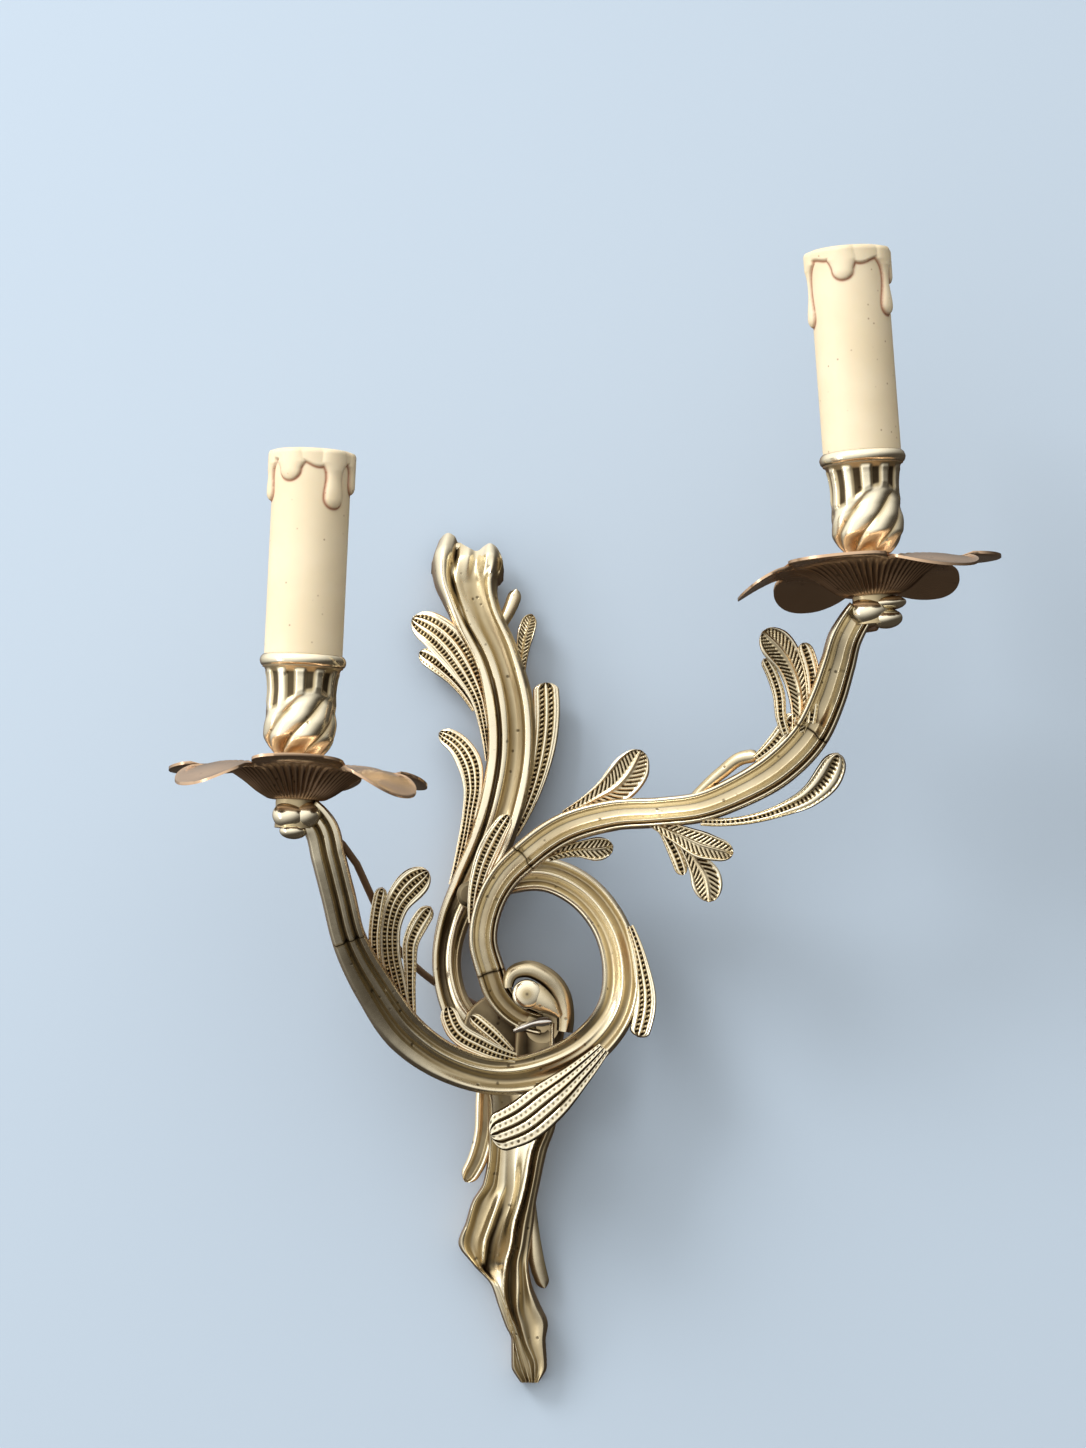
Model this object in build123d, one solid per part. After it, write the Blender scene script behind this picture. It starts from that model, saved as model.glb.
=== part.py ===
from build123d import *
import math
import os

# Two-light rococo wall sconce in cast brass, with mock candle sleeves over small screw lampholders.
# Millimetres. X to the right, Y into the wall, Z up. The wall is the plane Y = 0, and the origin is
# the centre of the hanging hole, so everything that shows lies at negative Y.

# Driving dimensions of the two lights, measured along each candle's own axis from its seat on the arm
LEFT_SEAT = (-67.5, -95.0, -23.0)
RIGHT_SEAT = (116.0, -95.0, 42.0)
LEFT_LEAN = 2.5           # degrees, the top of the candle leaning to the right
RIGHT_LEAN = -4.0
SLEEVE_R = 12.5
SLEEVE_WALL = 1.1
SLEEVE_FOOT = 42.0        # height of the ledge in the cup that the sleeve stands on
SLEEVE_TOP = 111.0
CUP_FOOT = 13.5
CUP_TOP = 46.0
PAN_R = 40.5
PAN_SHEET = 0.9
NIPPLE_R = 5.0
NIPPLE_BORE_R = 3.5
HOLDER_R = 10.8
HOLDER_FOOT = 60.0
HOLDER_TOP = 105.0
SOCKET_R = 7.0            # inside of the screw shell, for a small screw lamp cap

# Driving dimensions of the castings
ARM_DEPTH = 8.5           # front rims to back lips
ARM_LIP = 2.0
ARM_CEILING = 4.0         # front rims to the roof of the wire channel
LEAF_THICKNESS = 2.4
SHELL_SIDE = 2.4
SHELL_FRONT = 4.2
WIRE_R = 1.2
WIRE_INSET = 6.2          # front rims to the middle of the wire
RIM = 0.085               # rim radius as a share of a stem's width
SLIP = 0.05               # radial play of a screw or a nipple in its hole

FRONT = Vector(0, -1, 0)

# Each row of a casting is one cross-section: x, y, z of its front rims at mid-width, and its width.
STEM = [
    (-15.0, -12, 70.0, 18.0), (-15.5, -15, 57.0, 18.5), (-12.0, -16, 44.0, 15.8), (-5.0, -16, 29.5, 15.4),
    (-0.6, -16, 12.6, 16.6), (0.1, -16, -2.6, 16.2), (-2.6, -17, -19.5, 15.4), (-7.0, -18, -33.6, 14.6),
    (-13.6, -18, -47.7, 12.8), (-19.4, -18, -60.4, 10.4), (-21.6, -18, -73.8, 9.4), (-18.6, -18, -88.0, 10.0),
    (-8.5, -18, -101.5, 14.0), (0.5, -18, -113.0, 19.0), (3.6, -18, -124.0, 22.0), (2.8, -18, -137.0, 20.5),
    (-0.5, -17, -153.0, 19.0), (-1.6, -16, -166.5, 17.5), (-0.2, -14, -181.0, 14.0), (2.5, -13, -191.5, 13.5),
    (5.4, -12, -202.0, 11.5), (6.2, -10, -213.5, 9.0),
]
# The right arm runs from the post behind the volute to the right seat, the left arm from its bolt to the left seat.
RIGHT_ARM = [
    (10.5, -30, -94.0, 8.6), (1.9, -31, -90.6, 9.0), (-3.7, -32, -84.5, 9.4), (-6.3, -33, -77.5, 9.6),
    (-9.0, -35, -66.6, 9.4), (-7.0, -37, -55.1, 9.6), (-1.7, -40, -45.6, 10.0), (4.3, -43, -39.8, 10.3),
    (17.1, -48, -30.7, 10.5), (32.8, -54, -26.1, 10.2), (49.0, -61, -25.2, 9.6), (61.8, -67, -23.8, 9.9),
    (74.0, -73, -19.2, 11.0), (87.0, -80, -11.5, 12.2), (96.7, -86, -1.2, 12.4), (101.6, -90, 9.2, 12.0),
    (105.0, -94, 20.0, 11.2), (107.6, -98, 29.2, 10.4), (112.0, -100, 36.6, 9.6),
]
RIGHT_SEAMS = (3, 7, 14)  # rows where one casting of the arm butts against the next
LEFT_ARM = [
    (-11.0, -27, -51.0, 9.0), (-0.2, -27, -45.8, 10.6), (11.5, -27.4, -44.6, 11.4), (22.5, -29, -49.3, 12.0),
    (32.1, -32, -60.0, 12.2), (36.7, -36, -74.9, 12.7), (34.9, -41, -89.7, 13.0), (26.3, -46, -101.2, 13.2),
    (12.2, -51, -108.9, 13.0), (-3.1, -55, -111.4, 12.2), (-19.3, -60, -107.2, 12.6), (-33.4, -67, -97.4, 13.6),
    (-42.9, -75, -83.8, 12.8), (-51.0, -84, -67.9, 11.0), (-54.6, -91, -53.1, 10.8), (-57.4, -96, -41.5, 10.8),
    (-60.2, -99, -31.4, 10.6), (-64.0, -100, -27.0, 10.0),
]
LEFT_SEAM = 13
VOLUTE = [
    (14.4, -32, -103.0, 8.8), (16.2, -33, -91.0, 8.6), (13.3, -35, -82.0, 7.6), (7.6, -36, -78.4, 6.4),
    (3.4, -36, -81.0, 5.2), (4.0, -36, -85.2, 4.2),
]
VOLUTE_EYE = (6.4, -33.4, -84.6)
VOLUTE_EYE_R = 3.4
VOLUTE_DEPTH = 6.0

# Each leaf is a list of sections from where it leaves its stem to its tip, in the same terms.
BACKPLATE_LEAVES = {
    "upper_left": [(-6.6, -13.0, 2.0, 4.0), (-13.0, -12, 19.6, 7.0), (-21.5, -11, 33.0, 9.2), (-29.4, -10, 39.4, 9.4),
                   (-34.4, -8, 40.4, 6.0)],
    "upper_left_small": [(-9.4, -8, 9.5, 3.0), (-17.0, -8, 22.6, 4.4), (-25.0, -7, 28.6, 4.8), (-30.8, -6, 30.8, 3.2)],
    "middle_left": [(-17.5, -14, -47.0, 3.4), (-15.4, -13, -31.0, 6.4), (-13.2, -12, -16.0, 7.0),
                    (-15.7, -11, -4.7, 7.2), (-20.3, -10, 1.2, 5.8), (-24.4, -9, 2.6, 3.6)],
    "bud_upper": [(-4.0, -12, 41.0, 3.0), (-1.2, -11, 46.6, 4.2), (1.0, -10, 52.0, 3.2)],
    "bud_lower": [(2.0, -12, 25.0, 3.0), (4.4, -11, 34.6, 4.4), (6.0, -10, 40.2, 5.0), (7.0, -9, 43.6, 3.4)],
    "side_right": [(1.0, -12, -33.0, 3.0), (7.2, -12, -17.6, 5.0), (11.2, -11, 1.0, 7.6), (12.8, -10, 17.6, 6.4)],
    "tail_curl": [(-5.4, -13, -115.0, 4.0), (-7.4, -13, -131.5, 4.6), (-10.2, -12, -141.6, 5.0), (-15.0, -10, -148.6, 3.8)],
    "tail_lobe_left": [(-4.5, -12, -145.0, 6.0), (-9.0, -12, -158.0, 12.0), (-10.8, -11, -169.5, 11.0),
                       (-8.0, -9, -180.0, 4.0)],
    "tail_leaf_right": [(7.4, -9, -146.0, 4.0), (6.8, -9, -161.8, 4.4), (8.2, -8, -174.0, 4.6), (11.0, -7, -183.4, 2.4)],
    "tail_lobe_right": [(4.0, -10, -175.0, 5.0), (7.0, -10, -187.4, 6.2), (11.4, -8, -197.8, 3.0)],
    "top_roll_left": [(-14.4, -11.6, 56.0, 6.0), (-18.6, -13, 63.0, 8.0), (-20.0, -13.4, 69.0, 8.6), (-18.8, -12, 72.8, 5.4)],
    "top_roll_right": [(-11.0, -12, 52.0, 4.0), (-8.4, -12.6, 61.0, 5.2), (-4.6, -12, 66.6, 6.2), (-2.4, -9.6, 66.0, 5.0)],
}
RIGHT_LOWER_LEAVES = {
    "left": [(-12.4, -34.0, -61.0, 3.0), (-10.6, -36.0, -47.0, 5.8), (-6.4, -38, -35.6, 7.2), (-1.4, -38, -26.8, 3.2)],
}
RIGHT_MIDDLE_LEAVES = {
    "up": [(15.6, -46.4, -27.4, 3.0), (28.2, -50.5, -20.2, 6.4), (36.0, -51.5, -12.8, 10.2), (41.4, -52, -6.2, 7.6)],
    "under": [(12.4, -42.6, -39.6, 3.0), (21.4, -45, -37.6, 5.0), (29.6, -46, -36.6, 7.0), (33.2, -46, -36.8, 5.0)],
    "trefoil_long": [(46.6, -58.6, -28.6, 3.0), (57.0, -61, -33.6, 6.4), (66.5, -63, -37.4, 7.4), (71.8, -64, -38.6, 4.4)],
    "trefoil_broad": [(55.4, -58.6, -32.0, 3.0), (61.0, -59.4, -43.4, 8.0), (64.6, -59.6, -50.4, 8.8), (65.3, -59.6, -53.8, 6.0)],
    "trefoil_short": [(49.6, -57.4, -29.4, 2.8), (53.9, -57.0, -39.3, 4.4), (56.9, -57.0, -46.2, 3.0)],
    "low": [(66.0, -65.4, -27.6, 3.0), (83.5, -72, -24.4, 4.6), (96.0, -78, -18.6, 7.6), (103.4, -82, -8.2, 5.4)],
    "bud": [(60.0, -66.0, -20.6, 3.0), (68.8, -70.5, -12.9, 4.2), (74.9, -73.5, -8.5, 4.4), (78.4, -75, -7.8, 4.2)],
}
RIGHT_UPPER_LEAVES = {
    "fan": [(92.0, -85.0, 3.6, 8.0), (90.2, -85.4, 9.0, 11.8), (88.8, -87, 16.0, 13.2), (83.6, -89, 26.8, 9.6)],
    "fan_back": [(97.0, -87, 6.0, 3.4), (96.6, -88, 18.0, 4.8), (92.6, -89, 27.2, 3.4)],
}
LEFT_RING_LEAVES = {
    "fan_long": [(-33.0, -66, -92.5, 4.0), (-37.8, -71, -74.2, 7.2), (-36.4, -75, -58.2, 8.4), (-31.4, -77, -49.2, 8.0),
                 (-26.6, -78, -46.4, 4.8)],
    "fan_outer": [(-40.4, -73, -84.0, 3.0), (-43.2, -76, -68.8, 4.6), (-42.4, -78, -57.0, 4.8), (-40.8, -79, -50.8, 3.4)],
    "fan_inner": [(-31.6, -64, -93.0, 3.0), (-33.4, -67, -74.2, 5.0), (-31.0, -69, -62.8, 5.2), (-25.4, -70, -57.2, 2.4)],
    "inside": [(2.1, -53.6, -105.4, 3.4), (-9.0, -56, -101.6, 6.4), (-17.4, -57, -96.2, 6.8), (-19.8, -57, -90.6, 4.6)],
    "inside_small": [(0.6, -51.6, -103.6, 3.0), (-6.7, -53, -96.8, 4.8), (-11.6, -53, -92.6, 3.8)],
    "side": [(39.4, -33.4, -62.0, 3.0), (43.6, -36, -75.0, 5.0), (45.0, -39, -88.0, 6.6), (43.0, -41, -97.2, 4.8)],
    "low": [(30.0, -45.4, -103.0, 4.0), (20.3, -49.5, -112.5, 8.2), (9.2, -52, -121.4, 14.0), (-2.8, -53, -130.4, 9.0)],
}
# Hidden fixings and wiring
BOX_X, BOX_Z = 1.0, -96.5         # middle of the oval wiring box behind the centre scroll
BOX_RX, BOX_RZ = 17.0, 13.5
BOX_FRONT = -20.5
BOX_WALL = 2.6
LEFT_BOLT = (-13.4, -51.2)        # x, z
LEFT_BOLT_SEAT = -18.5            # y of the face where the left arm meets the backplate
CENTRE_BOLT = (10.6, -95.2)
BOLT_R = 2.0
BOLT_HEAD_R = 3.4
BOLT_HEAD_H = 2.4
STRAP_WIDTH = 7.4
STRAP_HALF_LENGTH = 13.0
STRAP_BACK, STRAP_FRONT = -2.0, -3.5
STRAP_HOLE_R = 2.25
STRAP_SCREW_Z = 9.5
STRAP_SCREW_R = 1.5
BLOCK_X, BLOCK_Z = -3.5, -97.0
BLOCK_WIDTH, BLOCK_HEIGHT, BLOCK_DEPTH = 16.0, 8.0, 9.0
BARREL_PITCH = 9.0
BARREL_R, BARREL_BORE_R = 2.5, 1.6
EARTH_SCREW = (3.4, -124.0)
RIGHT_FLEX_INSIDE = [(1.0, -13.4, -95.0), (1.0, -13.4, -91.0), (0.4, -18.0, -88.6), (-1.6, -23.0, -86.6)]
LEFT_FLEX_INSIDE = [
    (-8.0, -13.4, -95.0), (-8.0, -13.4, -91.0), (-13.0, -12.4, -87.4), (-20.0, -11.6, -83.6), (-25.6, -15.0, -80.4),
    (-29.0, -26.0, -77.6), (-32.6, -42.0, -74.2), (-36.5, -56.0, -69.6), (-40.6, -64.0, -62.0), (-44.8, -72.0, -52.4),
    (-48.8, -82.0, -43.0), (-53.0, -90.0, -37.0),
]
RIGHT_FLEX_JOINS = 3              # row of the right arm where its flex enters the channel
LEFT_FLEX_JOINS = 16


def tangents(points):
    """Unit directions of travel along a row of points, weighted by the gaps on either side."""
    gaps = [b - a for a, b in zip(points, points[1:])]
    inner = [
        (before.normalized() * after.length + after.normalized() * before.length).normalized()
        for before, after in zip(gaps, gaps[1:])
    ]
    if not inner:
        return [gaps[0].normalized()] * 2
    first = (gaps[0].normalized() * 2 - inner[0]).normalized()
    last = (gaps[-1].normalized() * 2 - inner[-1]).normalized()
    return [first, *inner, last]


def section_planes(rows):
    """One plane across each row: local x to the left of travel, local y towards the viewer."""
    points = [Vector(*row[:3]) for row in rows]
    planes = []
    for point, along in zip(points, tangents(points)):
        facing = (FRONT - along * FRONT.dot(along)).normalized()
        planes.append(Plane(origin=point, x_dir=facing.cross(along), z_dir=along))
    return planes


def cast_strip(rows, outline, first=0, last=None):
    """A solid lofted through the outlines of some rows; outline(width, depth to the wall) gives the edges."""
    last = len(rows) - 1 if last is None else last
    wires = []
    for plane, row in list(zip(section_planes(rows), rows))[first:last + 1]:
        wires.append(plane.location * Wire(outline(row[3], -row[1])))
    return Solid.make_loft(wires)


def moulded_front(width, ridge=0.28):
    """The front of a stem: a rim each side, a wide cove and a narrow one with a ridge between them."""
    half = width / 2
    rim = RIM * width
    crest = ridge * half
    wide = (-half + crest) / 2 + rim / 2
    narrow = (half + crest) / 2 - rim / 2
    return [Spline(
        (-half, -rim), (-half + rim, 0), (-half + 2.2 * rim, -1.2 * rim), (wide, -1.8 * rim), (crest - rim, -rim),
        (crest, -0.2 * rim), (crest + rim, -rim), (narrow, -1.3 * rim), (half - 2.1 * rim, -1.1 * rim),
        (half - rim, 0), (half, -rim),
    )]


def arm_outline(width, wall):
    """An arm's section: moulded front, plain sides and a wire channel open to the back."""
    half = width / 2
    rim = RIM * width
    inside = half - ARM_LIP
    back = Polyline(
        (half, -rim), (half, -ARM_DEPTH), (inside, -ARM_DEPTH), (inside, -ARM_CEILING),
        (-inside, -ARM_CEILING), (-inside, -ARM_DEPTH), (-half, -ARM_DEPTH), (-half, -rim),
    )
    return [*moulded_front(width), *back.edges()]


def leaf_outline(width, wall):
    """A leaf's section: two rounded halves with a groove between them, flat behind."""
    half = width / 2
    edge = -min(0.45 * LEAF_THICKNESS, 0.2 * width)
    groove = (0, -min(0.3 * LEAF_THICKNESS, 0.12 * width))
    back = Polyline((half, edge), (half, -LEAF_THICKNESS), (-half, -LEAF_THICKNESS), (-half, edge))
    front = Spline((-half, edge), (-0.55 * half, 0), groove, (0.55 * half, 0), (half, edge))
    return [front, *back.edges()]


def leaf(rows):
    """A leaf with its tip drawn in to a rounded end."""
    points = [Vector(*row[:3]) for row in rows]
    end = points[-1] + tangents(points)[-1] * rows[-1][3] * 0.32
    return cast_strip([*rows, (end.X, end.Y, end.Z, rows[-1][3] * 0.45)], leaf_outline)


def along_y(x, z, radius, first, last):
    """A round bar square to the wall, between two distances in front of it."""
    return Pos(x, (first + last) / 2, z) * Rot(90, 0, 0) * Cylinder(radius, abs(last - first))


def along_z(radius, foot, top, x=0, y=0):
    return Pos(x, y, (foot + top) / 2) * Cylinder(radius, top - foot)


def turned(points):
    """A solid turned about the Z axis from a list of (radius, height) corners."""
    return revolve(make_face(Plane.XZ * Polyline(*points, close=True)), Axis.Z)


def add_leaves(body, leaves):
    for rows in leaves.values():
        body = body + leaf(rows)
    return body


def stem_outline(width, wall):
    """The backplate's section: moulded front and sides that run on behind the wall, to be cut off there."""
    half = width / 2
    rim = RIM * width
    back = Polyline((half, -rim), (half, -wall - 3), (-half, -wall - 3), (-half, -rim))
    return [*moulded_front(width), *back.edges()]


def hollow_outline(width, wall):
    inside = width / 2 - SHELL_SIDE
    corners = [(inside, -SHELL_FRONT), (inside, -wall - 4), (-inside, -wall - 4), (-inside, -SHELL_FRONT)]
    return Polyline(*corners, close=True).edges()


def volute_outline(width, wall):
    half = width / 2
    rim = RIM * width
    back = Polyline((half, -rim), (half, -VOLUTE_DEPTH), (-half, -VOLUTE_DEPTH), (-half, -rim))
    return [*moulded_front(width), *back.edges()]


def oval(margin, first, last):
    """The wiring box's oval, drawn in by a margin, between two distances in front of the wall."""
    face = Plane.XZ.offset(-first) * Pos(BOX_X, BOX_Z) * Ellipse(BOX_RX - margin, BOX_RZ - margin)
    return extrude(face, first - last)


def channel_points(rows, first, last):
    """Where the wire runs in an arm: set back from the front rims into the channel."""
    return [plane.origin - plane.y_dir * WIRE_INSET for plane in section_planes(rows)[first:last + 1]]


def wire_along(points, radius):
    """A wire in straight runs, rounded where it turns."""
    wire = Pos(*points[0]) * Sphere(radius)
    for start, end in zip(points, points[1:]):
        run = end - start
        place = Plane(origin=(start + end) * 0.5, z_dir=run)
        wire = wire + place * Cylinder(radius, run.length) + Pos(*end) * Sphere(radius)
    return wire


def seat_place(seat, lean):
    return Location(seat, (0, lean, 0))


def seat_block(outward):
    """The end of an arm: a drilled block under the light and two rolled knobs on its outer side."""
    block = along_z(6.6, -9, 0)
    for height in (-2.9, -7.4):
        roll = Pos(outward * 5.5, -1.5, height) * Rot(0, 90, 0) * Cylinder(2.5, 7)
        tip = Pos(outward * 9, -1.5, height) * Sphere(2.5)
        block = block + roll + tip
    return block


def seat_bores():
    return along_z(NIPPLE_R + SLIP, -6, 1) + along_z(NIPPLE_BORE_R, -12, -5)


def flex_points(inside, rows, first, seat, lean):
    """A lamp flex from the terminal block, along the arm and up through the threaded tube."""
    place = seat_place(seat, lean)
    climb = [(place * Pos(0, 0, height)).position for height in (-10, 63)]
    return [Vector(*point) for point in inside] + channel_points(rows, first, len(rows) - 2) + climb


def make_backplate(flexes):
    body = cast_strip(STEM, stem_outline)
    body = add_leaves(body, BACKPLATE_LEAVES)
    body = body + oval(0, 0, BOX_FRONT)
    body = body - cast_strip(STEM[1:-1], hollow_outline)
    body = body - oval(BOX_WALL, 1, BOX_FRONT + BOX_WALL)
    body = body + along_y(*LEFT_BOLT, 4.6, -7, LEFT_BOLT_SEAT)
    body = body + along_y(*EARTH_SCREW, 4.0, -9, -16)
    for height in (STRAP_SCREW_Z, -STRAP_SCREW_Z):
        body = body + along_y(0, height, 2.8, STRAP_FRONT, -13)
        body = body - along_y(0, height, STRAP_SCREW_R + SLIP, STRAP_FRONT + 1, -11)
    body = body - along_y(*LEFT_BOLT, BOLT_HEAD_R + 0.3, 0, -7) - along_y(*LEFT_BOLT, BOLT_R + SLIP, -5, -25)
    body = body - along_y(*CENTRE_BOLT, BOLT_R + SLIP, -10, -25)
    body = body - along_y(*EARTH_SCREW, BOLT_R + SLIP, -5, -15)
    body = body - along_y(BLOCK_X, BLOCK_Z, 1.25 + SLIP, -10, -19.7)
    for points in flexes:
        body = body - wire_along(points[1:7], WIRE_R + 0.6)
    return body - Pos(0, 20, -70) * Box(300, 40, 400)


def make_centre_scroll():
    body = cast_strip(RIGHT_ARM, arm_outline, 0, RIGHT_SEAMS[0])
    body = body + cast_strip(VOLUTE, volute_outline) + Pos(*VOLUTE_EYE) * Sphere(VOLUTE_EYE_R)
    body = body + along_y(*CENTRE_BOLT, 5.6, BOX_FRONT, -29)
    return body - along_y(*CENTRE_BOLT, BOLT_R + SLIP, -15, -27.5)


def make_left_ring():
    body = cast_strip(LEFT_ARM, arm_outline, 0, LEFT_SEAM)
    body = add_leaves(body, LEFT_RING_LEAVES)
    body = body + along_y(*LEFT_BOLT, 4.4, LEFT_BOLT_SEAT, -24)
    return body - along_y(*LEFT_BOLT, BOLT_R + SLIP, -15, -24.5)


def make_arm_end(rows, seam, leaves, seat, lean, outward, flex):
    body = cast_strip(rows, arm_outline, seam)
    body = add_leaves(body, leaves)
    body = body + seat_place(seat, lean) * seat_block(outward)
    body = body - seat_place(seat, lean) * seat_bores()
    body = body - seat_place(seat, lean) * along_z(20, 0, 20)
    return body - wire_along(flex[-5:], WIRE_R + 0.6)


def bolt(x, z, radius, head_radius, head_height, seat, tip):
    """A round-headed screw put in from the wall side, its head standing on the given seat."""
    return along_y(x, z, head_radius, seat + head_height, seat) + along_y(x, z, radius, seat, tip)


def make_fixings():
    hanger_screws = [
        bolt(0, height, STRAP_SCREW_R, 2.6, 1.5, STRAP_BACK, -10.5) for height in (STRAP_SCREW_Z, -STRAP_SCREW_Z)
    ]
    arm_bolts = [
        bolt(*LEFT_BOLT, BOLT_R, BOLT_HEAD_R, BOLT_HEAD_H, -7, -23.5),
        bolt(*CENTRE_BOLT, BOLT_R, BOLT_HEAD_R, BOLT_HEAD_H, BOX_FRONT + BOX_WALL, -27),
    ]
    strap = Pos(0, (STRAP_BACK + STRAP_FRONT) / 2, 0) * Box(
        STRAP_WIDTH, STRAP_BACK - STRAP_FRONT, 2 * STRAP_HALF_LENGTH
    )
    strap = strap - along_y(0, 0, STRAP_HOLE_R, 0, -8)
    for height in (STRAP_SCREW_Z, -STRAP_SCREW_Z):
        strap = strap - along_y(0, height, STRAP_SCREW_R + SLIP, 0, -8)
    return {
        "hanger_strap": strap,
        "hanger_screws": Compound(hanger_screws),
        "arm_bolts": Compound(arm_bolts),
        "earth_screw": bolt(*EARTH_SCREW, BOLT_R, BOLT_HEAD_R, BOLT_HEAD_H, -9, -14.5),
    }


def make_terminals():
    front = BOX_FRONT + BOX_WALL
    middle = front + BLOCK_DEPTH / 2
    block = Pos(BLOCK_X, middle, BLOCK_Z) * Box(BLOCK_WIDTH, BLOCK_DEPTH, BLOCK_HEIGHT)
    block = block - along_y(BLOCK_X, BLOCK_Z, 1.25 + SLIP, 0, -25)
    barrels = []
    clamps = []
    for side in (-1, 1):
        x = BLOCK_X + side * BARREL_PITCH / 2
        foot, top = BLOCK_Z - BLOCK_HEIGHT / 2, BLOCK_Z + BLOCK_HEIGHT / 2
        block = block - along_z(BARREL_R, foot - 1, top + 1, x, middle)
        barrel = along_z(BARREL_R, foot, top, x, middle) - along_z(BARREL_BORE_R, foot - 1, top + 1, x, middle)
        for height in (BLOCK_Z - 2.2, BLOCK_Z + 2.2):
            way = along_y(x, height, 1.1 + SLIP, front + BLOCK_DEPTH + 1, middle)
            block = block - way
            barrel = barrel - way
            clamps.append(along_y(x, height, 1.1, front + BLOCK_DEPTH - 0.3, middle + BARREL_BORE_R + 0.15))
        barrels.append(barrel)
    return {
        "terminal_block": block,
        "terminal_barrels": Compound(barrels),
        "terminal_clamp_screws": Compound(clamps),
        "terminal_fixing_screw": bolt(BLOCK_X, BLOCK_Z, 1.25, 1.9, 1.4, front + BLOCK_DEPTH, -19.5),
    }


def make_pan():
    """A drip pan: a dished sheet with six rounded petals that curl down at their tips."""
    middle = [(14, 3.0), (20, 7.6), (26, 10.2), (31, 9.8), (36, 6.8), (PAN_R + 1, 1.6)]
    half = PAN_SHEET / 2
    flat, falling = (1, 0), (0.74, -0.67)
    upper = [(8.5, PAN_SHEET)] + [(r, z + half) for r, z in middle]
    lower = [(8.5, 0)] + [(r, z - half) for r, z in middle]
    hole = NIPPLE_R + SLIP
    edges = [
        Line((hole, 0), (hole, PAN_SHEET)), Line((hole, PAN_SHEET), upper[0]),
        Spline(*upper, tangents=(flat, falling)), Line(upper[-1], lower[-1]),
        Spline(*lower, tangents=(flat, falling)), Line(lower[0], (hole, 0)),
    ]
    dish = revolve(Plane.XZ * make_face(edges), Axis.Z)
    notch = PAN_R * 0.82
    petals = []
    for k in range(6):
        start, middle_angle, end = (math.radians(60 * k + turn) for turn in (0, 30, 60))
        petals.append(ThreePointArc(
            (notch * math.cos(start), notch * math.sin(start)),
            (PAN_R * math.cos(middle_angle), PAN_R * math.sin(middle_angle)),
            (notch * math.cos(end), notch * math.sin(end)),
        ))
    return dish & Pos(0, 0, -5) * extrude(make_face(petals), 25)


def make_collar():
    hole = NIPPLE_R + SLIP
    return turned([
        (hole, PAN_SHEET), (7.6, PAN_SHEET), (7.6, 2.6), (6.0, 5.0), (6.0, 9.0), (6.9, 10.4), (6.9, 12.2),
        (6.2, CUP_FOOT), (hole, CUP_FOOT),
    ])


def cup_section(height, valley, crest, twist, lobes=10):
    """One level of the cup's outside: a ring of round lobes, turned by the twist."""
    arcs = []
    for k in range(lobes):
        start, middle, end = (math.radians(twist + 360 * (k + part) / lobes) for part in (0, 0.5, 1))
        arcs.append(ThreePointArc(
            (valley * math.cos(start), valley * math.sin(start), height),
            (crest * math.cos(middle), crest * math.sin(middle), height),
            (valley * math.cos(end), valley * math.sin(end), height),
        ))
    return Wire(arcs)


def make_cup():
    levels = [
        (CUP_FOOT, 6.4, 7.2, -52), (16.5, 8.5, 9.8, -40), (21, 10.6, 12.1, -26), (26.5, 10.5, 11.8, -12),
        (33.5, 10.1, 11.0, -2), (39.5, 11.1, 11.8, 0), (43, 12.2, 12.6, 0),
    ]
    body = Solid.make_loft([cup_section(*level) for level in levels])
    rim = turned([
        (9, 41), (12.6, 41), (13.6, 42.4), (14.0, 43.6), (13.9, 44.8), (13.4, CUP_TOP), (9, CUP_TOP),
    ])
    inside = turned([
        (0, 18.5), (8.4, 18.5), (9.2, 22), (9.0, 27), (8.6, 33.5), (9.7, 39), (11.1, SLEEVE_FOOT),
        (SLEEVE_R + 0.35, SLEEVE_FOOT), (SLEEVE_R + 0.35, CUP_TOP + 1), (0, CUP_TOP + 1),
    ])
    return (body + rim) - inside - along_z(NIPPLE_R + SLIP, 10, 20)


def make_sleeve(drips):
    """A candle sleeve with a band of wax at its top and drips down its side: (angle, length, radius)."""
    body = along_z(SLEEVE_R, SLEEVE_FOOT, SLEEVE_TOP)
    body = body + turned([
        (0, SLEEVE_TOP - 7), (SLEEVE_R - 0.1, SLEEVE_TOP - 7), (SLEEVE_R + 0.7, SLEEVE_TOP - 5.6),
        (SLEEVE_R + 0.9, SLEEVE_TOP - 0.6), (SLEEVE_R + 0.2, SLEEVE_TOP + 0.5), (0, SLEEVE_TOP + 0.5),
    ])
    for angle, length, radius in drips:
        x = (SLEEVE_R - 0.4) * math.sin(math.radians(angle))
        y = -(SLEEVE_R - 0.4) * math.cos(math.radians(angle))
        foot = SLEEVE_TOP - length + radius
        body = body + along_z(radius * 0.72, foot, SLEEVE_TOP - 1.5, x, y)
        body = body + Pos(x, y, foot) * Sphere(radius)
    return body - along_z(SLEEVE_R - SLEEVE_WALL, SLEEVE_FOOT - 1, SLEEVE_TOP + 5)


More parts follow.
